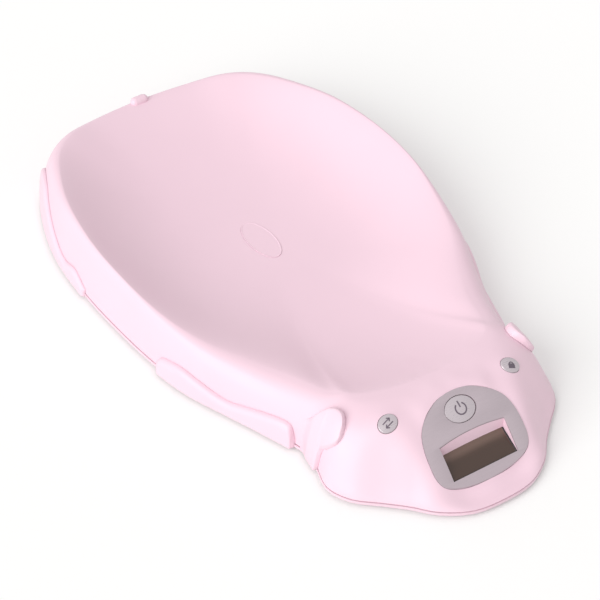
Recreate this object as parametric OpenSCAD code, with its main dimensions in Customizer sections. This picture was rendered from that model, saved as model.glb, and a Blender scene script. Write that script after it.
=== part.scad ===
// Digital baby weighing scale: a one-piece tray and console that float on four load cells
// in a low base, with three press buttons, a display window and a battery door underneath.
// X runs across the scale, Y from the console to the head end, Z up. Millimetres.

/* [Overall] */
// Length from the console's front edge to the head end
body_l = 598; // [578:1:618]
// Width of the tray over its side walls
tray_w = 333; // [321:1:345]
// Width at the waist between tray and console
waist_w = 223; // [218:1:228]
// Width of the console
console_w = 239; // [234:1:244]
// Length of the console from its front edge to the waist
console_l = 144; // [141:1:148]
// Height of the highest point of the tray's rim
rim_h = 66.5; // [63:0.5:70]
// Height of the ridge between tray and console
ridge_h = 66.5; // [65.5:0.5:68]
// Height of the dish's floor at its middle
dish_floor_z = 24; // [23:0.5:28]
// Wall of the upper shell
shell_wall = 2.4; // [2.2:0.1:2.6]
// Height of the upper shell's lower edge
skirt_z = 7.2; // [7:0.1:7.6]

/* [Base] */
// Height that the rubber feet stand out below the base
foot_h = 3.6; // [3:0.1:4]
// Diameter of a rubber foot
foot_d = 26; // [22:1:30]
// Thickness of the base floor
base_floor = 2.6; // [2.4:0.1:2.8]
// Thickness of the base's upright wall
base_wall = 2; // [1.6:0.1:2.4]
// How far the base flange stands out past the upper shell
flange_lip = 0.7; // [0.5:0.1:0.8]
// Thickness of the side grips at the head end, and of the knobs' feet
grip_t = 3; // [2.4:0.1:3.6]
// Thickness of the side grips at the middle
middle_grip_t = 5; // [4:0.1:6]
// Thickness of the knobs at their top
knob_t = 7; // [6:0.1:8]
// Gap between the floating shell and the side grips
grip_gap = 0.9; // [0.8:0.1:1.1]

/* [Weighing] */
// Travel of the platform on its load cells
platform_travel = 0.5; // [0.3:0.1:0.6]
// Side of a square load cell plate
cell_side = 32; // [30:0.5:34]
// Thickness of a load cell plate
cell_t = 2; // [1.6:0.1:2.2]
// Thickness of the steel platform bracket
bracket_t = 1.6; // [1.2:0.1:2]
// Diameter of the screws' shanks
screw_d = 3; // [2.6:0.1:3.2]

/* [Console] */
// Radius of the console's curved face
face_r = 260; // [250:1:275]
// Tilt of the face at the power button
face_tilt = 34.5; // [34:0.25:35]
// Distance of the power button from the front edge
power_y = 69.5; // [69:0.25:70.5]
// Height of the face at the power button
power_z = 56.3; // [55.8:0.1:56.8]
// Width of the silver face plate
plate_w = 99; // [95:1:103]
// Thickness of the face plate
plate_t = 1.2; // [1:0.1:1.4]
// Width of the oval power button
power_w = 31; // [29:0.5:33]
// Length of the oval power button
power_l = 23.5; // [21:0.5:25]
// Width of the two small oval buttons
small_w = 19; // [17:0.5:20]
// Length of the two small oval buttons
small_l = 15.5; // [14:0.5:17]
// Distance between the two small buttons
small_gap = 131; // [129:1:133]
// Clearance round a button
button_clear = 0.35; // [0.25:0.05:0.45]
// Travel of a button
button_travel = 1; // [0.8:0.1:1.2]
// Width of the display window
window_w = 69; // [67:1:71]
// Depth of the display window seen from above
window_l = 23; // [21.5:0.5:23.5]
// Tilt of the display
lcd_tilt = 26; // [24.5:0.5:27.5]

/* [Power] */
// Length of a battery
battery_l = 50.5; // [50:0.1:51]
// Diameter of a battery
battery_d = 14.2; // [13.9:0.1:14.4]
// Largest opening angle of the battery door
door_open = 75; // [60:5:85]

/* [Hidden] */

PINK = "#f3d9e4";
SILVER = "#c9bfc8";
STEEL = "#aab0b6";
GREEN = "#2f7d4f";
WHITE = "#f1efec";

STEPS = 3;
y_front = -body_l / 2;
y_head = body_l / 2;
y_waist = y_front + console_l;
tray_l = y_head - y_waist;
dish_centre = [0, y_waist + 0.507 * tray_l];

// The console's face is part of a cylinder that lies across the scale.
power_at = [0, y_front + power_y, power_z];
face_cy = power_at.y + face_r * sin(face_tilt);
face_cz = power_z - face_r * cos(face_tilt);
function face_z(y) = face_cz + sqrt(face_r * face_r - (y - face_cy) * (y - face_cy));

// Tray rows from the head end round to the waist: half width and length as shares,
// how far the rim's ridge lies inside the outline, and the ridge's height as a share.
TRAY = [
    [0.000, 1.000, 8, 0.70],
    [0.335, 0.991, 10, 0.73],
    [0.570, 0.967, 14, 0.82],
    [0.755, 0.917, 17, 0.87],
    [0.877, 0.830, 15, 0.93],
    [0.964, 0.723, 12, 0.99],
    [1.000, 0.592, 8, 1.00],
    [0.996, 0.467, 7, 0.965],
    [0.973, 0.357, 11, 0.86],
    [0.922, 0.255, 17, 0.79],
    [0.829, 0.163, 23, 0.75],
    [0.742, 0.080, 26, 0.77]];
WAIST_RIDGE = [27, 0.875];

// Console rows from the waist round to the front: outline half width and length as shares,
// ridge half width as a share of the waist and how far the ridge lies past the waist.
CONSOLE = [
    [0.941, 0.840, 0.690, 9],
    [1.000, 0.653, 0.610, 18],
    [0.925, 0.493, 0.510, 24],
    [0.753, 0.361, 0.405, 28],
    [0.611, 0.250, 0.290, 31],
    [0.473, 0.125, 0.180, 33],
    [0.260, 0.024, 0.085, 34],
    [0.000, 0.000, 0.000, 34]];
// Heights of the cowl between outline and ridge at each console row, as shares of the ridge's
// height, or 0 where the face sets them.
COWL = [
    [[0.09, 0.38], [0.28, 0.69], [0.5, 0.85], [0.77, 0.93]],
    [[0.09, 0.32], [0.28, 0.65], [0.5, 0.86], [0.77, 0.96]],
    [[0.09, 0.29], [0.28, 0.64], [0.5, 0.88], [0.77, 0.98]],
    [[0.09, 0.26], [0.28, 0.65], [0.5, 0.925], [0.77, 0.99]],
    [[0.09, 0.285], [0.28, 0.67], [0.5, 0.887], [0.77, 0.99]],
    [[0.09, 0.27], [0.25, 0], [0.5, 0], [0.7, 0]],
    [[0.14, 0.15], [0.25, 0], [0.5, 0], [0.76, 0]],
    [[0.14, 0.145], [0.25, 0], [0.5, 0], [0.76, 0]]];
RIDGE_SHARE = [0.955, 0.973, 0.983, 0.991, 0.995, 1, 1, 1];

// The side walls follow a quarter of a superellipse.
WALL_POWER = 2 / 2.4;
WALL_ANGLES = [18, 36, 54, 72];

function unit(v) = v / norm(v);
function flat(p) = [p.x, p.y];
function inward(a, b) = unit([b.y - a.y, a.x - b.x]);
function wall_row(o, way, inset, ridge) = concat(
    [[o.x, o.y, skirt_z]],
    [for (a = WALL_ANGLES) let(p = o + way * inset * (1 - pow(cos(a), WALL_POWER)))
        [p.x, p.y, skirt_z + (ridge - skirt_z) * pow(sin(a), WALL_POWER)]],
    [let(p = o + way * inset) [p.x, p.y, ridge]]);

TRAY_OUT = [for (t = TRAY) [t[0] * tray_w / 2, y_waist + t[1] * tray_l]];
CONSOLE_OUT = [for (c = CONSOLE) [c[0] * console_w / 2, y_front + c[1] * console_l]];
OUT = concat(TRAY_OUT, [[waist_w / 2, y_waist]], CONSOLE_OUT);
WAIST = len(TRAY);
LAST = len(OUT) - 1;

function tray_row(i) = let(
        before = i == 0 ? [-OUT[1].x, OUT[1].y] : OUT[i - 1],
        share = i == WAIST ? WAIST_RIDGE : [TRAY[i][2], TRAY[i][3]])
    wall_row(OUT[i], inward(before, OUT[i + 1]), share[0], share[1] * rim_h);
function console_row(k) = let(
        o = CONSOLE_OUT[k],
        c = [CONSOLE[k][2] * waist_w / 2, y_waist - CONSOLE[k][3]])
    concat([[o.x, o.y, skirt_z]],
        [for (w = COWL[k]) let(p = o + w[0] * (c - o)) [p.x, p.y, w[1] > 0 ? w[1] * ridge_h : face_z(p.y)]],
        [[c.x, c.y, ridge_h * RIDGE_SHARE[k]]]);
ROWS = concat([for (i = [0:WAIST]) tray_row(i)], [for (k = [0:len(CONSOLE) - 1]) console_row(k)]);

// A smooth curve between b and c, with a and d as its neighbours.
function curve(a, b, c, d, t) = 0.5 * (2 * b + (c - a) * t + (2 * a - 5 * b + 4 * c - d) * t * t
    + (3 * b - a - 3 * c + d) * t * t * t);
function flip(p) = [-p.x, p.y, p.z];
function row(i) = i < 0 ? [for (p = ROWS[-i]) flip(p)]
    : i > LAST ? [for (p = ROWS[2 * LAST - i]) flip(p)] : ROWS[i];
function row_at(s) = let(i = min(floor(s), LAST - 1), t = s - i)
    [for (k = [0:5]) curve(row(i - 1)[k], row(i)[k], row(i + 1)[k], row(i + 2)[k], t)];
// A point of the outer skin: s counts rows round the half, f runs from the lower edge up to the ridge.
function climb(r, f) = f <= 0 ? [r[0].x, r[0].y, skirt_z + f * (skirt_z - foot_h)] : let(
        k = min(floor(f), 4),
        before = k == 0 ? [r[0].x, r[0].y, 2 * r[0].z - r[1].z] : r[k - 1],
        after = k == 4 ? [2 * r[5].x - r[4].x, 2 * r[5].y - r[4].y, r[4].z] : r[k + 2])
    curve(before, r[k], r[k + 1], after, f - k);
function skin(s, f) = climb(row_at(s), f);
NUDGE = 0.02;
function skin_normal(s, f) = let(
        u = max(f, 0.01),
        up = skin(s, min(u + NUDGE, 5)) - skin(s, max(u - NUDGE, 0)),
        a = max(s - NUDGE, 0),
        b = min(s + NUDGE, LAST),
        along = skin(b, u) - skin(a, u),
        n = unit(cross(up, along)))
    f <= 0 ? unit([n.x, n.y, 0]) : s <= 0 || s >= LAST ? unit([0, n.y, n.z]) : n;

// The dish falls from the ridge to a flat floor round its middle. Further in, its walls follow
// one even height in place of the ridge's own.
DISH_EVEN = 4;
DISH_MID = 0.85;
function bowl(q) = 1 - pow(1 - pow(q, 3.6), 1.4);
function dish(c, q) = let(
        p = dish_centre + q * (flat(c) - dish_centre),
        own = pow(q, DISH_EVEN),
        top = c.z * own + DISH_MID * rim_h * (1 - own))
    [p.x, p.y, dish_floor_z + (top - dish_floor_z) * bowl(q)];
DISH_STEPS = [0.97, 0.92, 0.85, 0.76, 0.66, 0.54, 0.4, 0.22];
function dish_normal(s, q) = let(
        c = row_at(s)[5],
        a = row_at(max(s - NUDGE, 0))[5],
        b = row_at(min(s + NUDGE, LAST))[5],
        n = unit(cross(dish(c, q - NUDGE) - dish(c, min(q + NUDGE, 1)), dish(b, q) - dish(a, q))))
    s <= 0 || s >= LAST ? unit([0, n.y, n.z]) : n;

SKIN_STEPS = [0, 0.5, 1, 1.5, 2, 2.5, 3, 3.5, 4, 4.5, 5];
HALF = [for (i = [0:LAST * STEPS]) i / STEPS];
function whole(half) = concat(half, [for (i = [len(half) - 2:-1:1]) flip(half[i])]);
function kept(p) = [p.x, p.y, max(p.z, skirt_z)];
function outer_ring(f, depth) = whole([for (s = HALF) kept(skin(s, f) - depth * skin_normal(s, f))]);
function dish_ring(q, depth) = whole([for (s = HALF) dish(row_at(s)[5], q) - depth * dish_normal(s, q)]);
function skin_rings(depth) = concat([for (f = SKIN_STEPS) outer_ring(f, depth)],
    [for (q = DISH_STEPS) dish_ring(q, depth)]);
function joined(lists) = [for (l = lists) for (p = l) p];
// Two triangles for each cell between ring a and ring b, which start at these indices.
function band(a, b, n) = [for (i = [0:n - 1]) let(j = (i + 1) % n)
    each [[a + i, b + i, b + j], [a + i, b + j, a + j]]];
function turned(faces) = [for (f = faces) [f[2], f[1], f[0]]];

module shell_skin(depth) {
    top = skin_rings(0);
    low = skin_rings(depth);
    n = len(top[0]);
    m = len(top);
    points = concat(joined(top), joined(low),
        [[0, dish_centre.y, dish_floor_z], [0, dish_centre.y, dish_floor_z - depth]]);
    up = joined([for (r = [0:m - 2]) band(r * n, (r + 1) * n, n)]);
    fan = [for (i = [0:n - 1]) [(m - 1) * n + i, 2 * m * n, (m - 1) * n + (i + 1) % n]];
    down = [for (f = concat(up, fan)) [for (v = f) v == 2 * m * n ? v + 1 : v + m * n]];
    rim = band(0, m * n, n);
    polyhedron(points, concat(turned(up), turned(fan), down, rim), convexity = 8);
}

// The flat outline, grown by a margin.
function outline(margin) = [for (p = outer_ring(0, -margin)) flat(p)];

// Places that several pieces share.
module each_side() {
    for (side = [-1, 1]) mirror([side < 0 ? 1 : 0, 0, 0]) children();
}
module at_power() translate(power_at) rotate([face_tilt, 0, 0]) children();
SMALL_TILT = [23.5, 13.5];
SMALL_BACK = 15.2;
SMALL_RISE = 5.2;
module at_small(side) translate([side * small_gap / 2, power_at.y + SMALL_BACK, power_z + SMALL_RISE])
    rotate([SMALL_TILT.x, side * SMALL_TILT.y, 0]) children();
window_y = y_front + 28.3;
lcd_t = 2.4;
LCD_RECESS = 1;
module at_lcd() translate([0, window_y, face_z(window_y) - LCD_RECESS]) rotate([lcd_tilt, 0, 0]) children();
module at_cells() each_side() for (p = CELLS) translate(p) children();
module face_cylinder(depth) translate([0, face_cy, face_cz]) rotate([0, 90, 0])
    cylinder(r = face_r - depth, h = console_w, center = true, $fn = 256);

base_top = foot_h + base_floor;
CELLS = [[95, y_waist + 331], [84, y_waist + 28]];
holder_floor = 2;
cell_z = base_top + holder_floor;
TONGUE_RISE = 3.3;
bracket_z = cell_z + cell_t + TONGUE_RISE;
bracket_top = bracket_z + bracket_t;
fit = 0.2;
REAR_BOSS = dish(ROWS[5][5], 0.5);
FRONT_BOSS = dish(ROWS[10][5], 0.5);
RETAINERS = [for (y = [REAR_BOSS.y, FRONT_BOSS.y]) [30, y]];

// Key stack below a button: the board lies under the skin, a switch on it, the stem on the plunger.
board_t = 1.6;
board_w = -14;
switch_h = 3.6;
stem_w = board_w + switch_h + button_travel + 0.1;
plunger_d = 3.4;
BOARD_W = 88;
BOARD_L = 32;
BOARD_V = -13;
POSTS = [[38, 8.5], [38, -8.5]];
SIDE_POST = 13.5;
post_d = 6;
SKIN_BITE = 1.7;

// The silver plate's outline: half width as a share, and distance from the power button.
PLATE = [[0, 14.5], [0.29, 13], [0.53, 8.5], [0.735, 2.5], [0.89, -5], [0.975, -15], [1, -26],
    [0.985, -35.5], [0.88, -42], [0.62, -46], [0.3, -48], [0, -48.5]];
plate_proud = 0.5;
function plate_point(i) = let(n = len(PLATE) - 1, k = abs(i) > n ? 2 * n - abs(i) : abs(i),
        side = i < 0 || i > n ? -1 : 1)
    [side * PLATE[k].x * plate_w / 2, power_at.y + PLATE[k].y];
PLATE_HALF = [for (i = [0:len(PLATE) - 2]) for (t = [0:0.25:0.75])
    curve(plate_point(i - 1), plate_point(i), plate_point(i + 1), plate_point(i + 2), t)];
PLATE_RIGHT = concat(PLATE_HALF, [plate_point(len(PLATE) - 1)]);
PLATE_ALL = concat(PLATE_RIGHT, [for (i = [len(PLATE_RIGHT) - 2:-1:1]) [-PLATE_RIGHT[i].x, PLATE_RIGHT[i].y]]);
PLATE_MIDDLE = -17;
plate_mid = [0, power_at.y + PLATE_MIDDLE];
function grown(points, margin) = [for (p = points) p + margin * unit(p - plate_mid)];
WINDOW_ARCH = 2.3;
function window(margin) = let(h = window_w / 2 + margin, top = window_y + window_l + margin) concat(
    [[h, window_y - margin], [-h, window_y - margin]],
    [for (a = [-1:0.1:1]) [a * h, top + WINDOW_ARCH * (1 - a * a)]]);
TALL = 100;

function oval(half, margin) = [for (a = [0:7.5:359]) [(half.x + margin) * cos(a), (half.y + margin) * sin(a)]];
module oval_block(half, margin, low, high) translate([0, 0, low]) linear_extrude(high - low) polygon(oval(half, margin));
power_half = [power_w, power_l] / 2;
small_half = [small_w, small_l] / 2;
// The small buttons' long axes turn a little, with their outer ends towards the front.
SMALL_TURN = 12;
module at_small_oval(side) at_small(side) rotate([0, 0, -side * SMALL_TURN]) children();
module power_bore() at_power() oval_block(power_half, button_clear, -8, 12);
BOSS_D = 9;
BOSS_BITE = 1.2;
SIDE_POST_D = 5;

module upper_shell() color(PINK) difference() {
    union() {
        shell_skin(shell_wall);
        at_power() each_side() for (p = POSTS) translate([p.x, p.y, board_w])
            cylinder(d = post_d, h = -board_w - SKIN_BITE, $fn = 32);
        for (side = [-1, 1]) at_small(side) for (x = [-SIDE_POST, SIDE_POST]) translate([x, 0, board_w])
            cylinder(d = SIDE_POST_D, h = -board_w - SKIN_BITE, $fn = 32);
        each_side() for (p = [REAR_BOSS, FRONT_BOSS]) translate([p.x, p.y, bracket_top])
            cylinder(d = BOSS_D, h = p.z - BOSS_BITE - bracket_top, $fn = 32);
    }
    difference() {
        linear_extrude(TALL) polygon(grown(PLATE_ALL, 0.25));
        face_cylinder(plate_t - plate_proud);
    }
    linear_extrude(TALL) polygon(window(0));
    power_bore();
    for (side = [-1, 1]) at_small_oval(side) oval_block(small_half, button_clear, -7, 9);
    at_power() each_side() for (p = POSTS) translate([p.x, p.y, board_w - 1])
        cylinder(d = screw_d + 0.1, h = 9, $fn = 24);
    each_side() for (p = [REAR_BOSS, FRONT_BOSS]) translate([p.x, p.y, bracket_top - 1])
        cylinder(d = screw_d + 0.1, h = 8, $fn = 24);
    translate([0, dish_centre.y, dish_floor_z]) oval_block(OVAL, fit, -INLAY_SUNK, TALL);
    translate([0, NUB_Y, NUB_Z - 9]) cylinder(d = NUB_PEG + fit, h = 20, $fn = 32);
}

// The oval pad in the dish floor.
OVAL = [13.5, 28];
INLAY_SUNK = 0.9;
INLAY_PROUD = 0.5;
module oval_inlay() color(PINK) translate([0, dish_centre.y, dish_floor_z])
    oval_block(OVAL, 0, -INLAY_SUNK, INLAY_PROUD);

// The small stud on the rim at the head end.
NUB = [19, 10.5];
NUB_PEG = 5;
NUB_Y = ROWS[0][5].y;
NUB_Z = ROWS[0][5].z;
module head_nub() color(PINK) translate([0, NUB_Y, NUB_Z]) {
    difference() {
        hull() for (x = [-1, 1]) translate([x * (NUB.x - NUB.y) / 2, 0, 0]) sphere(d = NUB.y, $fn = 32);
        translate([-20, -20, -40 + fit]) cube([40, 40, 40]);
    }
    translate([0, 0, -7]) cylinder(d = NUB_PEG, h = 8, $fn = 32);
}

module face_plate() color(SILVER) difference() {
    intersection() {
        linear_extrude(TALL) polygon(PLATE_ALL);
        difference() {
            face_cylinder(-plate_proud);
            face_cylinder(plate_t - plate_proud);
        }
    }
    linear_extrude(TALL) polygon(window(0));
    power_bore();
}

// The display lies in a well whose walls hang from the shell.
WELL_WALL = 3;
well_deep = window_l + 3.7;
WELL_FRONT = 8;
WELL_CLEAR = 1.4;
lcd_l = 28;
module display_bezel() color(PINK) intersection() {
    difference() {
        translate([-window_w / 2 - WELL_WALL, window_y + WELL_FRONT, 0])
            cube([window_w + 2 * WELL_WALL, well_deep + 2.3 - WELL_FRONT, TALL]);
        translate([-window_w / 2, window_y, -1]) cube([window_w, well_deep, TALL + 2]);
    }
    face_cylinder(shell_wall + WELL_CLEAR);
    at_lcd() translate([-60, -20, -lcd_t]) cube([120, 80, 60]);
}
module lcd_panel() color("#5a4a44") at_lcd() translate([-window_w / 2 + fit, fit, -lcd_t])
    cube([window_w - 2 * fit, lcd_l, lcd_t]);
holder_t = 1.4;
HOLDER_WINGS = 10;
module lcd_holder() color(WHITE) at_lcd() {
    translate([-window_w / 2 + fit, fit, -lcd_t - holder_t])
        cube([window_w - 2 * fit, lcd_l + 2 - fit, holder_t]);
    translate([-window_w / 2 - WELL_WALL, HOLDER_WINGS, -lcd_t - holder_t])
        cube([window_w + 2 * WELL_WALL, lcd_l + 2 - HOLDER_WINGS, holder_t]);
}
// The flat lead from the display's holder to the board, drawn in the plane across the scale.
function from_lcd(v, w) = [window_y + v * cos(lcd_tilt) - w * sin(lcd_tilt),
    face_z(window_y) - LCD_RECESS + v * sin(lcd_tilt) + w * cos(lcd_tilt)];
function from_power(v, w) = [power_at.y + v * cos(face_tilt) - w * sin(face_tilt),
    power_z + v * sin(face_tilt) + w * cos(face_tilt)];
RIBBON_W = 24;
RIBBON_T = 0.3;
RIBBON_LAP = 4;
module display_ribbon() color("#d8a24a") translate([-RIBBON_W / 2, 0, 0]) rotate([90, 0, 90])
    linear_extrude(RIBBON_W) let(
        end = lcd_l + 2,
        under = -lcd_t - holder_t,
        board = board_w - board_t) polygon([
            from_lcd(end - RIBBON_LAP, under), from_lcd(end, under),
            from_power(BOARD_V, board), from_power(BOARD_V + RIBBON_LAP, board),
            from_power(BOARD_V + RIBBON_LAP, board - RIBBON_T), from_power(BOARD_V, board - RIBBON_T),
            from_lcd(end, under - RIBBON_T), from_lcd(end - RIBBON_LAP, under - RIBBON_T)]);

// A press button: a domed cap in its bore, a flange that stops it under the skin, and a stem.
POWER_FLANGE = -3.4;
SMALL_FLANGE = -4.5;
FLANGE_T = 1.2;
BUTTON_RISE = 2;
FLANGE_W = 1.3;
module press_button(half, dome, flange) {
    intersection() {
        oval_block(half, 0, flange, BUTTON_RISE);
        translate([0, 0, BUTTON_RISE - dome]) sphere(r = dome, $fn = 128);
    }
    oval_block(half, FLANGE_W, flange - FLANGE_T, flange);
    translate([0, 0, stem_w]) cylinder(d = 6, h = flange - FLANGE_T - stem_w, $fn = 32);
}
module power_button() color(SILVER) at_power() press_button(power_half, 60, POWER_FLANGE);
module unit_button() color(SILVER) at_small_oval(-1) press_button(small_half, 30, SMALL_FLANGE);
module hold_button() color(SILVER) at_small_oval(1) press_button(small_half, 30, SMALL_FLANGE);
switch_floor = board_w + 0.4;
plunger_w = switch_floor + button_travel + fit;
module plunger() color("black") translate([0, 0, plunger_w])
    cylinder(d = plunger_d, h = stem_w - plunger_w, $fn = 32);
module power_plunger() at_power() plunger();
module unit_plunger() at_small(-1) plunger();
module hold_plunger() at_small(1) plunger();
module key_switch() color("#3a3a3e") difference() {
    translate([-3, -3, board_w]) cube([6, 6, switch_h]);
    translate([0, 0, switch_floor]) cylinder(d = plunger_d + 0.4, h = switch_h, $fn = 32);
}
module key_switches() {
    at_power() key_switch();
    for (side = [-1, 1]) at_small(side) key_switch();
}

module main_board() color(GREEN) at_power() difference() {
    translate([-BOARD_W / 2, BOARD_V, board_w - board_t]) cube([BOARD_W, BOARD_L, board_t]);
    each_side() for (p = POSTS) translate([p.x, p.y, board_w - 2]) cylinder(d = screw_d + fit, h = 4, $fn = 24);
}
module side_key_boards() color(GREEN) for (side = [-1, 1]) at_small(side)
    translate([-SIDE_POST - 3, -6, board_w - board_t]) cube([2 * SIDE_POST + 6, 12, board_t]);
module control_chip() color("#17171a") at_power() translate([20, 3, board_w]) {
    cylinder(d = 10, h = 0.6, $fn = 48);
    translate([0, 0, 0.6]) cylinder(d1 = 9, d2 = 5, h = 0.8, $fn = 48);
}
module board_parts() color("#b98a4a") at_power() {
    translate([-16, 5, board_w]) cylinder(d = 5, h = 6, $fn = 32);
    translate([-24, 5, board_w]) cylinder(d = 5, h = 6, $fn = 32);
    translate([-26, -8, board_w]) cube([8, 3, 2.5]);
    for (x = [-14:4:14]) if (abs(x) > 5) translate([x, -9, board_w]) cube([2.5, 1.2, 0.8]);
}
module buzzer() color("#222226") at_power() translate([24, 3, board_w - board_t - 4.5]) difference() {
    cylinder(d = 12, h = 4.5, $fn = 48);
    translate([0, 0, -1]) cylinder(d = 2, h = 2, $fn = 24);
}
module board_screws() color(STEEL) at_power() each_side() for (p = POSTS) translate([p.x, p.y, board_w - board_t]) {
    translate([0, 0, -2]) cylinder(d = 5.6, h = 2, $fn = 32);
    cylinder(d = screw_d, h = 8, $fn = 24);
}
PLUG = [9, 6, 5];
PLUG_X = 12;
module wire_plugs() color(WHITE) at_power() for (x = [-PLUG_X, PLUG_X])
    translate([x - PLUG.x / 2, 1, board_w - board_t - PLUG.z]) cube(PLUG);

// Steel bracket under the dish, which carries the platform on the four load cells.
RAIL = 28;
RAIL_END = 16;
BAR = 22;
function rail_x(y, side) = CELLS[0].x + (CELLS[1].x - CELLS[0].x) * (y - CELLS[0].y) / (CELLS[1].y - CELLS[0].y)
    + side * RAIL / 2;
module rung(low, high, side) polygon([
    [-rail_x(low, side), low], [rail_x(low, side), low],
    [rail_x(high, side), high], [-rail_x(high, side), high]]);
module platform_bracket() color(STEEL) translate([0, 0, bracket_z]) linear_extrude(bracket_t) difference() {
    rung(CELLS[1].y - RAIL_END, CELLS[0].y + RAIL_END, 1);
    rung(CELLS[1].y - RAIL_END - 1, FRONT_BOSS.y - BAR / 2, -1);
    rung(FRONT_BOSS.y + BAR / 2, REAR_BOSS.y - BAR / 2, -1);
    rung(REAR_BOSS.y + BAR / 2, CELLS[0].y + RAIL_END + 1, -1);
    each_side() for (p = [REAR_BOSS, FRONT_BOSS]) translate([p.x, p.y]) circle(d = screw_d + fit, $fn = 24);
    each_side() for (p = RETAINERS) translate(p) circle(d = screw_d + fit, $fn = 24);
}
module bracket_screws() color(STEEL) each_side() for (p = [REAR_BOSS, FRONT_BOSS])
    translate([p.x, p.y, bracket_z - 2]) {
        cylinder(d = 6, h = 2, $fn = 32);
        cylinder(d = screw_d, h = 8, $fn = 24);
    }
// Shoulder screws that come up through the base and stop the platform lifting off.
seat_z = base_top + 0.6;
module retaining_screws() color(STEEL) each_side() for (p = RETAINERS) translate([p.x, p.y, 0]) {
    translate([0, 0, seat_z - 2]) cylinder(d = 7.4, h = 1.8, $fn = 32);
    translate([0, 0, seat_z - 1]) cylinder(d = screw_d, h = bracket_top + 1 - seat_z + 1, $fn = 24);
}
TONGUE = 13.2;
TONGUE_STUD = 8;
module load_cell_tongues() color(STEEL) at_cells() {
    translate([-TONGUE / 2, -TONGUE / 2, cell_z]) cube([TONGUE, TONGUE, cell_t]);
    translate([0, 0, cell_z + cell_t]) cylinder(d = TONGUE_STUD, h = TONGUE_RISE, $fn = 32);
}
module load_cell_frames() color(STEEL) at_cells() translate([0, 0, cell_z]) linear_extrude(cell_t) difference() {
    square(cell_side, center = true);
    square(TONGUE + 0.8, center = true);
}
HOLDER_CLEAR = 0.3;
HOLDER_RIM = 2;
HOLDER_PROUD = 0.8;
TONGUE_CLEAR = 3;
module cell_holders() color(WHITE) at_cells() translate([0, 0, base_top]) difference() {
    linear_extrude(holder_floor + cell_t + HOLDER_PROUD) square(cell_side + 2 * HOLDER_RIM, center = true);
    translate([0, 0, holder_floor]) linear_extrude(TALL) square(cell_side + HOLDER_CLEAR, center = true);
    translate([0, 0, -1]) linear_extrude(TALL) square(TONGUE + TONGUE_CLEAR, center = true);
}

// The battery bay is open at the bottom and its door swings down on two stub pins.
cell_pitch = battery_d + 0.5;
bay_x = battery_l / 2 + 3.4;
bay_y = y_waist - 40;
bay_l = 4 * cell_pitch + 0.6;
bay_wall = 1.6;
door_t = 2;
door_gap = 0.3;
DOOR_LAP = 3;
barrel_r = 1.8;
pin_r = 1;
hinge = [bay_y + bay_l + bay_wall + barrel_r + 0.5, foot_h + barrel_r];
battery_z = foot_h + door_t + 0.4 + battery_d / 2;
bay_top = battery_z + battery_d / 2 + 0.6;
LATCH = [14, 0.9, 3.6];
rebate_x = bay_x + DOOR_LAP;

module base_tub() color(PINK) difference() {
    union() {
        translate([0, 0, foot_h]) linear_extrude(base_floor) polygon(outline(flange_lip));
        intersection() {
            translate([0, 0, base_top]) linear_extrude(WALL_H) difference() {
                polygon(outline(-WALL_IN));
                polygon(outline(-WALL_IN - base_wall));
            }
            translate([-tray_w, y_waist - 8, 0]) cube([2 * tray_w, body_l, TALL]);
        }
        translate([-bay_x - bay_wall, bay_y - bay_wall, foot_h])
            cube([2 * (bay_x + bay_wall), bay_l + 2 * bay_wall, bay_top + bay_wall - foot_h]);
        translate([-rebate_x - 3.5, hinge.x - 3, foot_h]) cube([2 * rebate_x + 7, 6.8, base_floor + 3]);
        each_side() for (p = RETAINERS) translate([p.x, p.y, base_top]) cylinder(d = 14, h = 3, $fn = 48);
    }
    translate([-bay_x, bay_y, 0]) cube([2 * bay_x, bay_l, bay_top]);
    translate([-rebate_x, bay_y - DOOR_LAP, 0])
        cube([2 * rebate_x, hinge.x - bay_y + DOOR_LAP, foot_h + door_t + 0.1]);
    translate([-rebate_x, hinge.x - barrel_r - 0.3, 0])
        cube([2 * rebate_x, 2 * barrel_r + 0.6, foot_h + 2 * barrel_r + 0.5]);
    translate([-rebate_x - 2.6, hinge.x, hinge.y]) rotate([0, 90, 0])
        cylinder(r = pin_r + 0.2, h = 2 * rebate_x + 5.2, $fn = 32);
    translate([-LATCH.x / 2 - 0.5, bay_y - DOOR_LAP, 0])
        cube([LATCH.x + 1, DOOR_LAP - bay_wall, foot_h + door_t + LATCH.z + 1]);
    translate([0, bay_y - DOOR_LAP, foot_h - 1]) cylinder(d = 18, h = 2.2, $fn = 48);
    each_side() for (p = RETAINERS) translate([p.x, p.y, 0]) {
        cylinder(d = 8.6, h = seat_z, $fn = 48);
        cylinder(d = screw_d + 1.2, h = TALL, $fn = 32);
    }
    at_cells() cylinder(d = FOOT_PEG + fit, h = TALL, $fn = 32);
}
WALL_IN = 7;
WALL_H = 7;
FOOT_PEG = 8;

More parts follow.
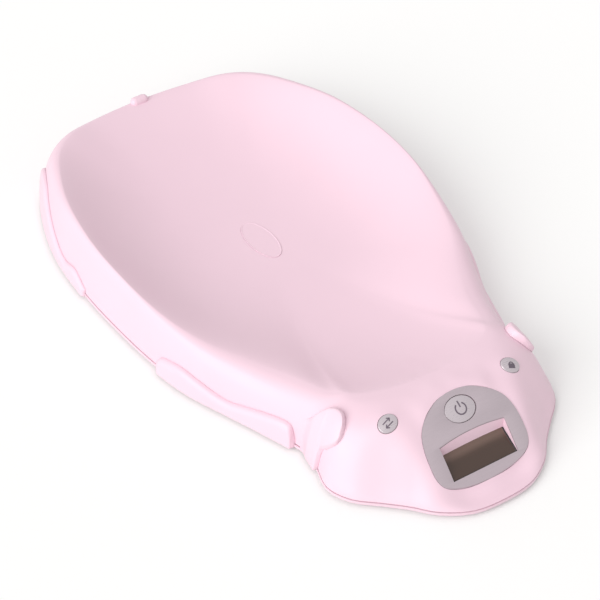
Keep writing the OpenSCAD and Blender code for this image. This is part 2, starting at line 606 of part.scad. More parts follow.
module rubber_feet() color("#8d8a8c") at_cells() {
    cylinder(d1 = foot_d - 2, d2 = foot_d, h = 1, $fn = 64);
    translate([0, 0, 1]) cylinder(d = foot_d, h = foot_h - 1, $fn = 64);
    cylinder(d = FOOT_PEG, h = base_top + 0.8, $fn = 32);
}
function battery_y(i) = bay_y + 0.3 + cell_pitch * (i + 0.5);
module batteries() color("#6f7f8c") for (i = [0:3]) translate([0, battery_y(i), battery_z])
    rotate([0, i % 2 == 0 ? 90 : -90, 0]) translate([0, 0, -battery_l / 2]) {
        cylinder(d = battery_d, h = battery_l - 1, $fn = 64);
        cylinder(d = 5.4, h = battery_l, $fn = 32);
    }
contact_t = 0.5;
contact_room = bay_x - contact_t - battery_l / 2 - 0.1;
module battery_contacts() color(STEEL) for (i = [0:3]) translate([0, battery_y(i), battery_z])
    rotate([0, i % 2 == 0 ? 90 : -90, 0]) {
        for (end = [bay_x - contact_t, -bay_x]) translate([-5.5, -5.5, end]) cube([11, 11, contact_t]);
        translate([0, 0, bay_x - contact_t - contact_room]) cylinder(d = 5, h = contact_room, $fn = 32);
        translate([0, 0, contact_t - bay_x]) difference() {
            cylinder(d1 = 10, d2 = 7, h = contact_room, $fn = 48);
            translate([0, 0, -0.01]) cylinder(d1 = 8, d2 = 5, h = contact_room + 0.02, $fn = 48);
        }
    }
module battery_door() color(PINK) {
    translate([-rebate_x + door_gap, bay_y - DOOR_LAP + door_gap, foot_h])
        cube([2 * (rebate_x - door_gap), hinge.x - bay_y + DOOR_LAP - door_gap, door_t]);
    translate([-rebate_x + door_gap, hinge.x, hinge.y]) rotate([0, 90, 0])
        cylinder(r = barrel_r, h = 2 * (rebate_x - door_gap), $fn = 48);
    translate([-rebate_x - 2.3, hinge.x, hinge.y]) rotate([0, 90, 0])
        cylinder(r = pin_r, h = 2 * rebate_x + 4.6, $fn = 32);
    translate([-LATCH.x / 2, bay_y - DOOR_LAP + door_gap, foot_h]) cube([LATCH.x, LATCH.y, door_t + LATCH.z]);
}

// Side grips: strips of the base that follow the shell's skin. Each column gives the place
// along the half outline and the strip's lower and upper edge on the skin. A fourth number is
// the share of the extra thickness that the strip gains towards its top.
GRIP_REAR = [[5.95, -1, 0.2], [5.63, -1, 0.62], [5.3, -1, 0.4], [5.05, -1, 0.5], [4.6, -1, 1.05],
    [4.2, -1, 1.7], [3.8, -1, 2.3], [3.3, -1, 2.3], [2.85, -1, 1.5], [2.48, -1, 0.3]];
GRIP_MIDDLE = [[8.15, -1, 0.2], [8.3, -1, 0.75], [8.8, -1, 1.1], [9.2, -1, 0.95], [9.9, -1, 0.55],
    [10.5, -1, 0.8], [11, -1, 1.05], [11.4, -1, 1.15], [11.65, -1, 0.95], [11.78, -1, 0.2]];
KNOB = [[11.95, -1, 1.8, 0], [12.3, -1, 2.4, 0.3], [12.7, -1, 2.8, 0.7], [13.1, -1, 3.2, 0.95],
    [13.28, 1, 3.3, 1], [13.55, 1.45, 3.42, 1], [13.87, 1.8, 3.4, 1], [14.08, 2.05, 3.2, 1], [14.22, 2.4, 2.8, 0.9]];
STRIP_ROWS = 6;
function finer(cols) = let(n = len(cols)) concat(
    [for (i = [0:n - 2]) for (t = [0, 0.5])
        curve(cols[max(i - 1, 0)], cols[i], cols[i + 1], cols[min(i + 2, n - 1)], t)], [cols[n - 1]]);
function on_skin(c, k, off) = let(f = max(c[1] + (c[2] - c[1]) * k / STRIP_ROWS, -1))
    skin(c[0], f) + off * skin_normal(c[0], f);
function gain(c, k) = (len(c) > 3 ? c[3] : 0) * k / STRIP_ROWS;
module strip(cols, low, top) {
    all = finer(cols);
    n = 2 * (STRIP_ROWS + 1);
    points = [for (c = all) each concat(
        [for (k = [0:STRIP_ROWS]) on_skin(c, k, grip_gap)],
        [for (k = [STRIP_ROWS:-1:0]) on_skin(c, k, grip_gap + low + (top - low) * gain(c, k))])];
    m = len(all);
    sides = joined([for (r = [0:m - 2]) band(r * n, (r + 1) * n, n)]);
    start = [for (k = [0:STRIP_ROWS - 1]) each [[k, k + 1, n - 1 - k], [k + 1, n - 2 - k, n - 1 - k]]];
    end = [for (f = turned(start)) [for (v = f) v + (m - 1) * n]];
    faces = concat(sides, start, end);
    polyhedron(points, cols[0][0] < cols[1][0] ? turned(faces) : faces, convexity = 6);
}
module grip_rear_right() color(PINK) strip(GRIP_REAR, grip_t, grip_t);
module grip_rear_left() color(PINK) mirror([1, 0, 0]) strip(GRIP_REAR, grip_t, grip_t);
module grip_middle_right() color(PINK) strip(GRIP_MIDDLE, middle_grip_t, middle_grip_t);
module grip_middle_left() color(PINK) mirror([1, 0, 0]) strip(GRIP_MIDDLE, middle_grip_t, middle_grip_t);
module knob_right() color(PINK) strip(KNOB, grip_t, knob_t);
module knob_left() color(PINK) mirror([1, 0, 0]) strip(KNOB, grip_t, knob_t);

// Internal leads, as runs of round wire with rounded corners.
wire_d = 1.8;
module lead(points) {
    for (i = [0:len(points) - 2]) let(d = points[i + 1] - points[i]) {
        translate(points[i]) rotate([0, acos(d.z / norm(d)), atan2(d.y, d.x)])
            cylinder(d = wire_d, h = norm(d), $fn = 24);
        translate(points[i]) sphere(d = wire_d, $fn = 24);
    }
}
wire_z = base_top + wire_d / 2 + 0.1;
WIRE_X = 44;
WIRE_SLACK = 1.4;
LEAD_X = 22;
LEAD_STEP = 2.2;
plug_foot = from_power(1 + PLUG.y / 2, board_w - board_t - PLUG.z);
wire_end = plug_foot[1] - WIRE_SLACK;
holder_side = cell_side / 2 + HOLDER_RIM + wire_d / 2 + 0.1;
bay_front = bay_y - bay_wall - wire_d / 2 - 0.1;
module cell_wires() color("#c8463c") each_side() {
    lead([[CELLS[0].x - holder_side, CELLS[0].y, wire_z], [WIRE_X, CELLS[0].y, wire_z],
        [WIRE_X, plug_foot[0], wire_z], [PLUG_X, plug_foot[0], wire_z], [PLUG_X, plug_foot[0], wire_end]]);
    lead([[CELLS[1].x - holder_side, CELLS[1].y, wire_z], [WIRE_X, CELLS[1].y, wire_z]]);
}
module battery_leads() color("#303036") each_side()
    lead([[LEAD_X, bay_front, battery_z], [LEAD_X, plug_foot[0] + LEAD_STEP, battery_z],
        [PLUG_X + LEAD_STEP, plug_foot[0] + LEAD_STEP, battery_z],
        [PLUG_X + LEAD_STEP, plug_foot[0] + LEAD_STEP, wire_end]]);

upper_shell();
oval_inlay();
head_nub();
face_plate();
display_bezel();
lcd_panel();
lcd_holder();
display_ribbon();
power_button();
unit_button();
hold_button();
power_plunger();
unit_plunger();
hold_plunger();
key_switches();
main_board();
side_key_boards();
control_chip();
board_parts();
buzzer();
board_screws();
wire_plugs();
platform_bracket();
bracket_screws();
retaining_screws();
load_cell_tongues();
load_cell_frames();
cell_holders();
base_tub();
grip_rear_left();
grip_rear_right();
grip_middle_left();
grip_middle_right();
knob_left();
knob_right();
rubber_feet();
batteries();
battery_contacts();
battery_door();
cell_wires();
battery_leads();
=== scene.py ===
"""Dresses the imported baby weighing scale: smooth shell, silver face plate, display, buttons,
side grips, base and feet, then floor, light and camera. Sizes below are in millimetres unless
a property says otherwise, and every mesh is made in metres."""

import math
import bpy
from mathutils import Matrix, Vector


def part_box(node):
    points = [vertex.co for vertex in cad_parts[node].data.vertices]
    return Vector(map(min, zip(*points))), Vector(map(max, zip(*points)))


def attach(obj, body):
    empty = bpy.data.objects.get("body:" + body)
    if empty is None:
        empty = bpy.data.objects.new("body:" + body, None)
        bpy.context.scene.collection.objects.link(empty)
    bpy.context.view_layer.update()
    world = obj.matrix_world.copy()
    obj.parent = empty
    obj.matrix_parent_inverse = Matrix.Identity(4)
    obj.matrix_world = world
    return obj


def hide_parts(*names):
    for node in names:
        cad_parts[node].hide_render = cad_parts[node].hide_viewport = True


bl_info = {
    "name": "Baby Weighing Scale",
    "version": (1, 0, 0),
    "blender": (4, 5, 0),
    "location": "View3D > Sidebar > Scale",
    "description": "Dresses the packed baby weighing scale and sets up its studio",
    "category": "Object",
}

import bmesh
import bpy
from bpy.props import FloatProperty, FloatVectorProperty, IntProperty, PointerProperty
from mathutils import Matrix, Vector

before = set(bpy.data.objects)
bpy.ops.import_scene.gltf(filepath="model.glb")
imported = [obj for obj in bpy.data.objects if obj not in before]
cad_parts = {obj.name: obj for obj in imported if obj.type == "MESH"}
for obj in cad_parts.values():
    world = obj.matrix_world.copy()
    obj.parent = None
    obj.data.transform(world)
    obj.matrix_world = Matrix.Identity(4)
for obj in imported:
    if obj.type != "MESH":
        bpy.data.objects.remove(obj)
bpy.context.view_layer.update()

MM = 0.001

# The scale's form, with the values of its construction.
BODY_L = 598
TRAY_W = 333
WAIST_W = 223
CONSOLE_W = 239
CONSOLE_L = 144
RIM_H = 66.5
RIDGE_H = 66.5
DISH_FLOOR_Z = 24
DISH_SHARE = 0.507
SHELL_WALL = 2.4
SKIRT_Z = 7.2
FOOT_H = 3.6
FACE_R = 260
FACE_TILT = 34.5
POWER_Y = 69.5
POWER_Z = 56.3
PLATE_W = 99
PLATE_T = 1.2
PLATE_PROUD = 0.5
PLATE_CLEAR = 0.25
PLATE_EDGE = 0.3
PLATE_MIDDLE = -17
POWER_SIZE = (31, 23.5)
SMALL_SIZE = (19, 15.5)
SMALL_TURN = 12
SMALL_GAP = 131
BUTTON_CLEAR = 0.35
# Lower and upper ends of the buttons' bores, along their own axes.
POWER_BORE = (-9, 14)
SMALL_BORE = (-8, 10)
WINDOW_AT = 28.3
WINDOW_W = 69
WINDOW_L = 23
WINDOW_ARCH = 2.3
LCD_TILT = 26
LCD_RECESS = 1
LCD_T = 2.4
LCD_L = 28
SMALL_TILT = (23.5, 13.5)
SMALL_BACK = 15.2
SMALL_RISE = 5.2
GRIP_GAP = 0.9
GRIP_T = 3
MIDDLE_GRIP_T = 5
KNOB_T = 7
# Higher than anything on the scale, for blocks that cut right through.
HIGH = 100

Y_FRONT = -BODY_L / 2
Y_HEAD = BODY_L / 2
Y_WAIST = Y_FRONT + CONSOLE_L
TRAY_L = Y_HEAD - Y_WAIST
DISH_CENTRE = Vector((0, Y_WAIST + DISH_SHARE * TRAY_L))
POWER_AT = Vector((0, Y_FRONT + POWER_Y, POWER_Z))
FACE_CY = POWER_AT.y + FACE_R * math.sin(math.radians(FACE_TILT))
FACE_CZ = POWER_Z - FACE_R * math.cos(math.radians(FACE_TILT))
WINDOW_Y = Y_FRONT + WINDOW_AT

# Tray rows: half width and length as shares, the ridge's inset and its height as a share.
TRAY = (
    (0.000, 1.000, 8, 0.70),
    (0.335, 0.991, 10, 0.73),
    (0.570, 0.967, 14, 0.82),
    (0.755, 0.917, 17, 0.87),
    (0.877, 0.830, 15, 0.93),
    (0.964, 0.723, 12, 0.99),
    (1.000, 0.592, 8, 1.00),
    (0.996, 0.467, 7, 0.965),
    (0.973, 0.357, 11, 0.86),
    (0.922, 0.255, 17, 0.79),
    (0.829, 0.163, 23, 0.75),
    (0.742, 0.080, 26, 0.77),
)
WAIST_RIDGE = (27, 0.875)
# Console rows: outline half width and length as shares, ridge half width as a share of the
# waist and how far the ridge lies past it.
CONSOLE = (
    (0.941, 0.840, 0.690, 9),
    (1.000, 0.653, 0.610, 18),
    (0.925, 0.493, 0.510, 24),
    (0.753, 0.361, 0.405, 28),
    (0.611, 0.250, 0.290, 31),
    (0.473, 0.125, 0.180, 33),
    (0.260, 0.024, 0.085, 34),
    (0.000, 0.000, 0.000, 34),
)
# Heights of the cowl as shares of the ridge's height, or 0 where the face sets them.
COWL = (
    ((0.09, 0.38), (0.28, 0.69), (0.5, 0.85), (0.77, 0.93)),
    ((0.09, 0.32), (0.28, 0.65), (0.5, 0.86), (0.77, 0.96)),
    ((0.09, 0.29), (0.28, 0.64), (0.5, 0.88), (0.77, 0.98)),
    ((0.09, 0.26), (0.28, 0.65), (0.5, 0.925), (0.77, 0.99)),
    ((0.09, 0.285), (0.28, 0.67), (0.5, 0.887), (0.77, 0.99)),
    ((0.09, 0.27), (0.25, 0), (0.5, 0), (0.7, 0)),
    ((0.14, 0.15), (0.25, 0), (0.5, 0), (0.76, 0)),
    ((0.14, 0.145), (0.25, 0), (0.5, 0), (0.76, 0)),
)
RIDGE_SHARE = (0.955, 0.973, 0.983, 0.991, 0.995, 1, 1, 1)
# The walls' rounding: the power of its curve, and the angles of its inner points.
WALL_POWER = 2 / 2.4
WALL_ANGLES = (18, 36, 54, 72)
# The face plate's outline: half width as a share, and distance from the power button.
PLATE = (
    (0, 14.5), (0.29, 13), (0.53, 8.5), (0.735, 2.5), (0.89, -5), (0.975, -15), (1, -26),
    (0.985, -35.5), (0.88, -42), (0.62, -46), (0.3, -48), (0, -48.5),
)
# Strips on the outer skin: place along the half outline, lower and upper edge, and for the
# knobs the share of the extra thickness at their top.
GRIP_REAR = (
    (5.95, -1, 0.2), (5.63, -1, 0.62), (5.3, -1, 0.4), (5.05, -1, 0.5), (4.6, -1, 1.05),
    (4.2, -1, 1.7), (3.8, -1, 2.3), (3.3, -1, 2.3), (2.85, -1, 1.5), (2.48, -1, 0.3),
)
GRIP_MIDDLE = (
    (8.15, -1, 0.2), (8.3, -1, 0.75), (8.8, -1, 1.1), (9.2, -1, 0.95), (9.9, -1, 0.55),
    (10.5, -1, 0.8), (11, -1, 1.05), (11.4, -1, 1.15), (11.65, -1, 0.95), (11.78, -1, 0.2),
)
KNOB = (
    (11.95, -1, 1.8, 0), (12.3, -1, 2.4, 0.3), (12.7, -1, 2.8, 0.7), (13.1, -1, 3.2, 0.95),
    (13.28, 1, 3.3, 1), (13.55, 1.45, 3.42, 1), (13.87, 1.8, 3.4, 1), (14.08, 2.05, 3.2, 1),
    (14.22, 2.4, 2.8, 0.9),
)
# The oval pad's half width and half length, its pocket's play, how deep it sits and how far it
# stands proud.
OVAL = (13.5, 28)
OVAL_CLEAR = 0.2
INLAY_SUNK = 0.9
INLAY_PROUD = 0.5
# The pad's flat rim, then the width and depth of its slope, and its rounded edge.
PAD_RIM = 0.9
PAD_SLOPE = (0.5, 0.25)
PAD_EDGE = 0.22
# The rim stud's length and width, and where its ball is cut.
NUB = (19, 10.5)
NUB_CUT = 0.02
# How fast the dish's wall follows the rim, its height where it doesn't, and its curve's powers.
DISH_EVEN = 4
DISH_MID = 0.85
DISH_BOWL = (3.6, 1.4)
# How much closer the dish's rings lie to the ridge than to its middle.
RING_CROWDING = 1.6


class ShellSizes(bpy.types.PropertyGroup):
    """Fineness of the smooth shell"""

    around: IntProperty(
        name="Around", description="Faces between two rows of the outline",
        default=8, min=2, max=12)
    up_wall: IntProperty(
        name="Up The Wall", description="Faces from the lower edge up to the ridge",
        default=24, min=10, max=40)
    in_dish: IntProperty(
        name="In The Dish", description="Faces from the ridge to the dish's middle",
        default=34, min=12, max=60)


def colour_property(name, description, default):
    """A colour that a user may change."""
    return FloatVectorProperty(
        name=name, description=description, subtype="COLOR", size=3, min=0, max=1, default=default)


def angle_property(name, description, degrees):
    """An angle that a user may change."""
    return FloatProperty(
        name=name, description=description, subtype="ANGLE", default=math.radians(degrees))


class ScaleColours(bpy.types.PropertyGroup):
    """Colours of the scale"""

    shell: colour_property("Shell Pink", "Colour of the shell and the pad", (0.87, 0.635, 0.725))
    base: colour_property(
        "Base Pink", "Colour of the base, the grips and the battery door", (0.87, 0.635, 0.725))
    silver: colour_property("Face Silver", "Colour of the face plate", (0.48, 0.405, 0.44))
    key: colour_property("Button Silver", "Colour of the buttons", (0.53, 0.47, 0.50))
    display: colour_property("Display", "Colour of the blank display", (0.072, 0.041, 0.030))
    mark: colour_property("Marks", "Colour of the signs on the buttons", (0.13, 0.10, 0.13))


class StudioSettings(bpy.types.PropertyGroup):
    """Camera and light"""

    azimuth: angle_property("Azimuth", "Direction that the camera looks from", -35.646)
    elevation: angle_property("Elevation", "Height of the camera above the horizon", 42.415)
    roll: angle_property("Roll", "Turn of the camera about its line of sight", 1.897)
    distance: FloatProperty(
        name="Distance", description="Distance from the camera to the point it looks at",
        unit="LENGTH", default=2.326)
    lens: FloatProperty(
        name="Lens", description="Focal length on a sensor 36 mm wide", default=150.96)
    target: FloatVectorProperty(
        name="Target", description="Point in the middle of the picture",
        subtype="TRANSLATION", size=3, default=(-0.0012, 0.0082, 0.0))
    key_power: FloatProperty(
        name="Key Light", description="Strength of the broad light from the left",
        default=1.95, min=0)
    key_height: angle_property("Key Height", "Height of the broad light above the horizon", 30)
    key_azimuth: angle_property("Key Azimuth", "Direction that the broad light comes from", -80)
    sky: FloatProperty(
        name="Sky", description="Strength of the even light from all round", default=0.71, min=0)


# ---- The shell's surface, point by point ----


def between(a, b, c, d, t):
    """A smooth curve between b and c, with a and d as its neighbours."""
    bend, twist = 2 * a - 5 * b + 4 * c - d, 3 * b - a - 3 * c + d
    return 0.5 * (2 * b + (c - a) * t + bend * t * t + twist * t**3)


def face_z(y):
    """Height of the console's curved face."""
    return FACE_CZ + math.sqrt(FACE_R**2 - (y - FACE_CY) ** 2)


def inward(a, b):
    """The level direction that points into the scale between two points of its outline."""
    return Vector((b.y - a.y, a.x - b.x)).normalized()


def wall_row(o, way, inset, ridge):
    """Points from the lower edge up a side wall to its ridge."""
    row = [Vector((o.x, o.y, SKIRT_Z))]
    for angle in WALL_ANGLES:
        a = math.radians(angle)
        p = o + way * inset * (1 - math.cos(a) ** WALL_POWER)
        row.append(Vector((p.x, p.y, SKIRT_Z + (ridge - SKIRT_Z) * math.sin(a) ** WALL_POWER)))
    top = o + way * inset
    row.append(Vector((top.x, top.y, ridge)))
    return row


def all_rows():
    """The rows of one half of the shell, from the head end round to the console's front."""
    outline = [Vector((t[0] * TRAY_W / 2, Y_WAIST + t[1] * TRAY_L)) for t in TRAY]
    outline.append(Vector((WAIST_W / 2, Y_WAIST)))
    console = [Vector((c[0] * CONSOLE_W / 2, Y_FRONT + c[1] * CONSOLE_L)) for c in CONSOLE]
    outline += console
    rows = []
    for i in range(len(TRAY) + 1):
        before = Vector((-outline[1].x, outline[1].y)) if i == 0 else outline[i - 1]
        inset, share = WAIST_RIDGE if i == len(TRAY) else TRAY[i][2:]
        rows.append(wall_row(outline[i], inward(before, outline[i + 1]), inset, share * RIM_H))
    for k, o in enumerate(console):
        c = Vector((CONSOLE[k][2] * WAIST_W / 2, Y_WAIST - CONSOLE[k][3]))
        row = [Vector((o.x, o.y, SKIRT_Z))]
        for along, height in COWL[k]:
            p = o + along * (c - o)
            row.append(Vector((p.x, p.y, height * RIDGE_H if height > 0 else face_z(p.y))))
        row.append(Vector((c.x, c.y, RIDGE_H * RIDGE_SHARE[k])))
        rows.append(row)
    return rows


ROWS = all_rows()
LAST = len(ROWS) - 1


def flip(p):
    """The same point on the other side."""
    return Vector((-p.x, p.y, p.z))


def row_at(s):
    """The row at place s along the half outline."""
    i = min(int(s), LAST - 1)
    t = s - i

    def near(k):
        if k < 0:
            return [flip(p) for p in ROWS[-k]]
        if k > LAST:
            return [flip(p) for p in ROWS[2 * LAST - k]]
        return ROWS[k]

    a, b, c, d = near(i - 1), near(i), near(i + 1), near(i + 2)
    return [between(a[k], b[k], c[k], d[k], t) for k in range(6)]


def climb(row, f):
    """A point of the outer skin: f runs from the lower edge, 0, up to the ridge, 5."""
    if f <= 0:
        return Vector((row[0].x, row[0].y, SKIRT_Z + f * (SKIRT_Z - FOOT_H)))
    k = min(int(f), 4)
    foot, top, below = row[0], row[5], row[4]
    before = Vector((foot.x, foot.y, 2 * foot.z - row[1].z)) if k == 0 else row[k - 1]
    after = row[k + 2] if k < 4 else Vector((2 * top.x - below.x, 2 * top.y - below.y, below.z))
    return between(before, row[k], row[k + 1], after, f - k)


def dish(c, q):
    """A point of the dish: q runs from its middle, 0, out to the ridge, 1."""
    flat = DISH_CENTRE + q * (Vector((c.x, c.y)) - DISH_CENTRE)
    own = q**DISH_EVEN
    top = c.z * own + DISH_MID * RIM_H * (1 - own)
    bowl = 1 - (1 - q ** DISH_BOWL[0]) ** DISH_BOWL[1]
    return Vector((flat.x, flat.y, DISH_FLOOR_Z + (top - DISH_FLOOR_Z) * bowl))


def plate_outline(margin=0.0, steps=8):
    """The face plate's outline, seen from above, grown by a margin."""
    n = len(PLATE) - 1

    def corner(i):
        k = 2 * n - abs(i) if abs(i) > n else abs(i)
        side = -1 if i < 0 or i > n else 1
        return Vector((side * PLATE[k][0] * PLATE_W / 2, POWER_AT.y + PLATE[k][1]))

    right = []
    for i in range(n):
        near = [corner(i + k) for k in (-1, 0, 1, 2)]
        right += [between(*near, t / steps) for t in range(steps)]
    right.append(corner(n))
    loop = right + [Vector((-p.x, p.y)) for p in right[-2:0:-1]]
    middle = Vector((0, POWER_AT.y + PLATE_MIDDLE))
    return [p + margin * (p - middle).normalized() for p in loop]


def window_outline(margin=0.0, steps=40):
    """The display window's outline, seen from above, with its arched far edge."""
    half = WINDOW_W / 2 + margin
    far = WINDOW_Y + WINDOW_L + margin
    shares = [2 * i / steps - 1 for i in range(steps + 1)]
    arch = [Vector((half * share, far + WINDOW_ARCH * (1 - share**2))) for share in shares]
    return [Vector((half, WINDOW_Y - margin)), Vector((-half, WINDOW_Y - margin))] + arch


def pad_outline(margin=0.0):
    """The oval pad's outline, seen from above, grown by a margin."""
    angles = [math.radians(2.5 * i) for i in range(144)]
    wide, long = OVAL[0] + margin, OVAL[1] + margin
    return [Vector((wide * math.cos(a), DISH_CENTRE.y + long * math.sin(a))) for a in angles]


def turn_about(axis, degrees):
    """A turn about an axis through the origin."""
    return Matrix.Rotation(math.radians(degrees), 4, axis)


def power_place():
    """Where the power button's axis stands, in metres."""
    return Matrix.Translation(POWER_AT * MM) @ turn_about("X", FACE_TILT)


def small_place(side):
    """Where a small button's axis stands, in metres, with the oval's long side along X."""
    at = Vector((side * SMALL_GAP / 2, POWER_AT.y + SMALL_BACK, POWER_Z + SMALL_RISE)) * MM
    tilt = turn_about("Y", side * SMALL_TILT[1]) @ turn_about("X", SMALL_TILT[0])
    return Matrix.Translation(at) @ tilt @ turn_about("Z", -side * SMALL_TURN)


def lcd_place():
    """Where the display's near edge lies, in metres."""
    at = Vector((0, WINDOW_Y, face_z(WINDOW_Y) - LCD_RECESS)) * MM
    return Matrix.Translation(at) @ turn_about("X", LCD_TILT)


def lcd_level(y):
    """Height of the display's surface on a line across the scale."""
    return face_z(WINDOW_Y) - LCD_RECESS + (y - WINDOW_Y) * math.tan(math.radians(LCD_TILT))


# ---- Modelling helpers ----

WELD = 0.000002


def nothing_selected():
    """Leaves edit mode and deselects everything."""
    if bpy.context.object and bpy.context.object.mode != "OBJECT":
        bpy.ops.object.mode_set(mode="OBJECT")
    bpy.ops.object.select_all(action="DESELECT")


def take(piece):
    """Makes one object the selected and active one."""
    nothing_selected()
    piece.select_set(True)
    bpy.context.view_layer.objects.active = piece


def named(name):
    """Names the active object and its mesh."""
    piece = bpy.context.object
    piece.name = name
    piece.data.name = name
    return piece


def start(name, primitive, **settings):
    """Begins a piece from one of Blender's primitives."""
    nothing_selected()
    primitive(**settings)
    return named(name)


def settle(piece, place=None):
    """Puts the piece's place into its mesh, so that its object sits at the origin."""
    take(piece)
    if place is not None:
        piece.matrix_world = place @ piece.matrix_world
    bpy.ops.object.transform_apply(location=True, rotation=True, scale=True)
    return piece


def edit(piece, mode="FACE", action="DESELECT"):
    """Opens one piece in edit mode, with nothing or everything selected."""
    take(piece)
    bpy.ops.object.mode_set(mode="EDIT")
    bpy.ops.mesh.select_mode(type=mode)
    bpy.ops.mesh.select_all(action=action)


def pick(piece, test, domain="faces"):
    """Selects the faces, edges or vertices that pass a test, in edit mode."""
    mesh = bmesh.from_edit_mesh(piece.data)
    for item in getattr(mesh, domain):
        if test(item):
            item.select = True
    mesh.select_flush_mode()
    bmesh.update_edit_mesh(piece.data)


def faces_up(face):
    """Whether a face looks up."""
    return face.normal.z > 0.9


def leave_edit():
    """Goes back to object mode."""
    bpy.ops.object.mode_set(mode="OBJECT")


def modified(piece, kind, **settings):
    """Adds a modifier and applies it."""
    take(piece)
    modifier = piece.modifiers.new(kind.title(), kind)
    for key, value in settings.items():
        setattr(modifier, key, value)
    bpy.ops.object.modifier_apply(modifier=modifier.name)
    return piece


def cut(piece, cutter, operation="DIFFERENCE"):
    """Cuts one piece with another, and removes the cutter."""
    modified(piece, "BOOLEAN", object=cutter, operation=operation, solver="EXACT")
    bpy.data.objects.remove(cutter)


def rounded(piece, width, segments=2, angle=35):
    """Rounds the sharp edges."""
    return modified(
        piece, "BEVEL", width=width * MM, segments=segments, limit_method="ANGLE",
        angle_limit=math.radians(angle), miter_outer="MITER_ARC")


def smooth(piece, angle):
    """Shades the piece smooth, apart from edges sharper than an angle."""
    take(piece)
    bpy.ops.object.shade_smooth_by_angle(angle=math.radians(angle))


def clean(piece, outward=True):
    """Merges doubles and turns the faces outwards."""
    edit(piece, "VERT", "SELECT")
    bpy.ops.mesh.remove_doubles(threshold=WELD)
    if outward:
        bpy.ops.mesh.normals_make_consistent(inside=False)
    leave_edit()
    return piece


def loop(name, outline, height, fill_type):
    """A closed loop over a flat outline in millimetres: height gives each point's level."""
    piece = start(
        name, bpy.ops.mesh.primitive_circle_add, vertices=len(outline), radius=1,
        fill_type=fill_type)
    for vertex, point in zip(piece.data.vertices, outline):
        vertex.co = (point.x * MM, point.y * MM, height(point) * MM)
    return piece


def raise_all(piece, mode, height):
    """Extrudes the whole piece upwards."""
    edit(piece, mode, "SELECT")
    bpy.ops.mesh.extrude_region_move(TRANSFORM_OT_translate={"value": (0, 0, height * MM)})
    leave_edit()


def prism(name, outline, low, high):
    """An upright block over a flat outline in millimetres."""
    piece = loop(name, outline, lambda point: low, "NGON")
    raise_all(piece, "FACE", high - low)
    return clean(piece)


def sheet(name, across, up, place):
    """A sheet of faces: place gives the point, in metres, of a column and a row."""
    piece = start(
        name, bpy.ops.mesh.primitive_grid_add, x_subdivisions=across, y_subdivisions=up, size=2)
    for vertex in piece.data.vertices:
        column = round((vertex.co.x + 1) / 2 * across)
        vertex.co = place(column, round((vertex.co.y + 1) / 2 * up))
    return clean(piece)


def block(name, size, at=(0, 0, 0)):
    """A block of a size in millimetres about a point in metres."""
    piece = start(name, bpy.ops.mesh.primitive_cube_add, size=1)
    piece.scale = [side * MM for side in size]
    piece.location = at
    return settle(piece)


def bore(name, size, ends, place):
    """An oval bar along a place's own Z axis that cuts the bore of a button."""
    low, high = ends
    piece = start(
        name, bpy.ops.mesh.primitive_cylinder_add, vertices=128, radius=1,
        depth=(high - low) * MM, location=(0, 0, (high + low) / 2 * MM))
    piece.scale = [(side / 2 + BUTTON_CLEAR) * MM for side in size] + [1]
    settle(piece)
    return settle(piece, place)


def face_drum(name, depth):
    """The cylinder that the console's face follows, lying across the scale."""
    return settle(start(
        name, bpy.ops.mesh.primitive_cylinder_add, vertices=720, radius=(FACE_R - depth) * MM,
        depth=CONSOLE_W * 2 * MM, location=(0, FACE_CY * MM, FACE_CZ * MM),
        rotation=(0, math.radians(90), 0)))


def turned(name, profile, steps, place):
    """A round piece: a profile of (radius, height) points, extruded point by point and spun."""
    piece = start(name, bpy.ops.mesh.primitive_plane_add, size=MM)
    edit(piece, "VERT", "SELECT")
    bpy.ops.mesh.merge(type="CENTER")
    first = Vector((profile[0][0] * MM, 0, profile[0][1] * MM))
    bpy.ops.transform.translate(value=first)
    here = first
    for radius, height in profile[1:]:
        there = Vector((radius * MM, 0, height * MM))
        bpy.ops.mesh.extrude_region_move(TRANSFORM_OT_translate={"value": there - here})
        here = there
    spin_all(steps, 360)
    return settle(clean(piece), place)


def spin_all(steps, degrees):
    """Spins the piece in edit mode about the Z axis."""
    bpy.ops.mesh.select_all(action="SELECT")
    bpy.ops.mesh.spin(steps=steps, angle=math.radians(degrees), center=(0, 0, 0), axis=(0, 0, 1))
    leave_edit()


def bowed(radius, height, dome, count=8):
    """Points of a dome's profile, from its middle out to a radius."""
    drop = dome - math.sqrt(dome**2 - radius**2)
    points = []
    for i in range(count + 1):
        r = radius * i / count
        points.append((r, height - (dome - math.sqrt(dome**2 - r * r))))
    return points, height - drop


def merged_copy(node, name):
    """A copy of a CAD node with its loose triangles joined."""
    nothing_selected()
    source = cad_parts[node]
    copy = source.copy()
    copy.data = source.data.copy()
    for key in list(copy.keys()):
        if key.startswith("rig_"):
            del copy[key]
    bpy.context.scene.collection.objects.link(copy)
    copy.parent = None
    copy.matrix_world = Matrix.Identity(4)
    copy.name = name
    copy.data.name = name
    copy.data.materials.clear()
    take(copy)
    if copy.data.has_custom_normals:
        bpy.ops.mesh.customdata_custom_splitnormals_clear()
    return clean(copy, outward=False)


def dress(piece, name):
    """Gives a piece one material all over."""
    piece.data.materials.clear()
    piece.data.materials.append(paint(name))
    for face in piece.data.polygons:
        face.material_index = 0


def stand_for(piece, body, slot, *nodes):
    """The piece rides on a body, and stands for CAD nodes if any are named."""
    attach(piece, body)
    if nodes:
        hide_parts(*nodes)


def complete(piece, angle, name, body, slot, *nodes):
    """Shades and paints a piece, and puts it on its body in place of CAD nodes."""
    smooth(piece, angle)
    dress(piece, name)
    stand_for(piece, body, slot, *nodes)


# ---- Materials ----


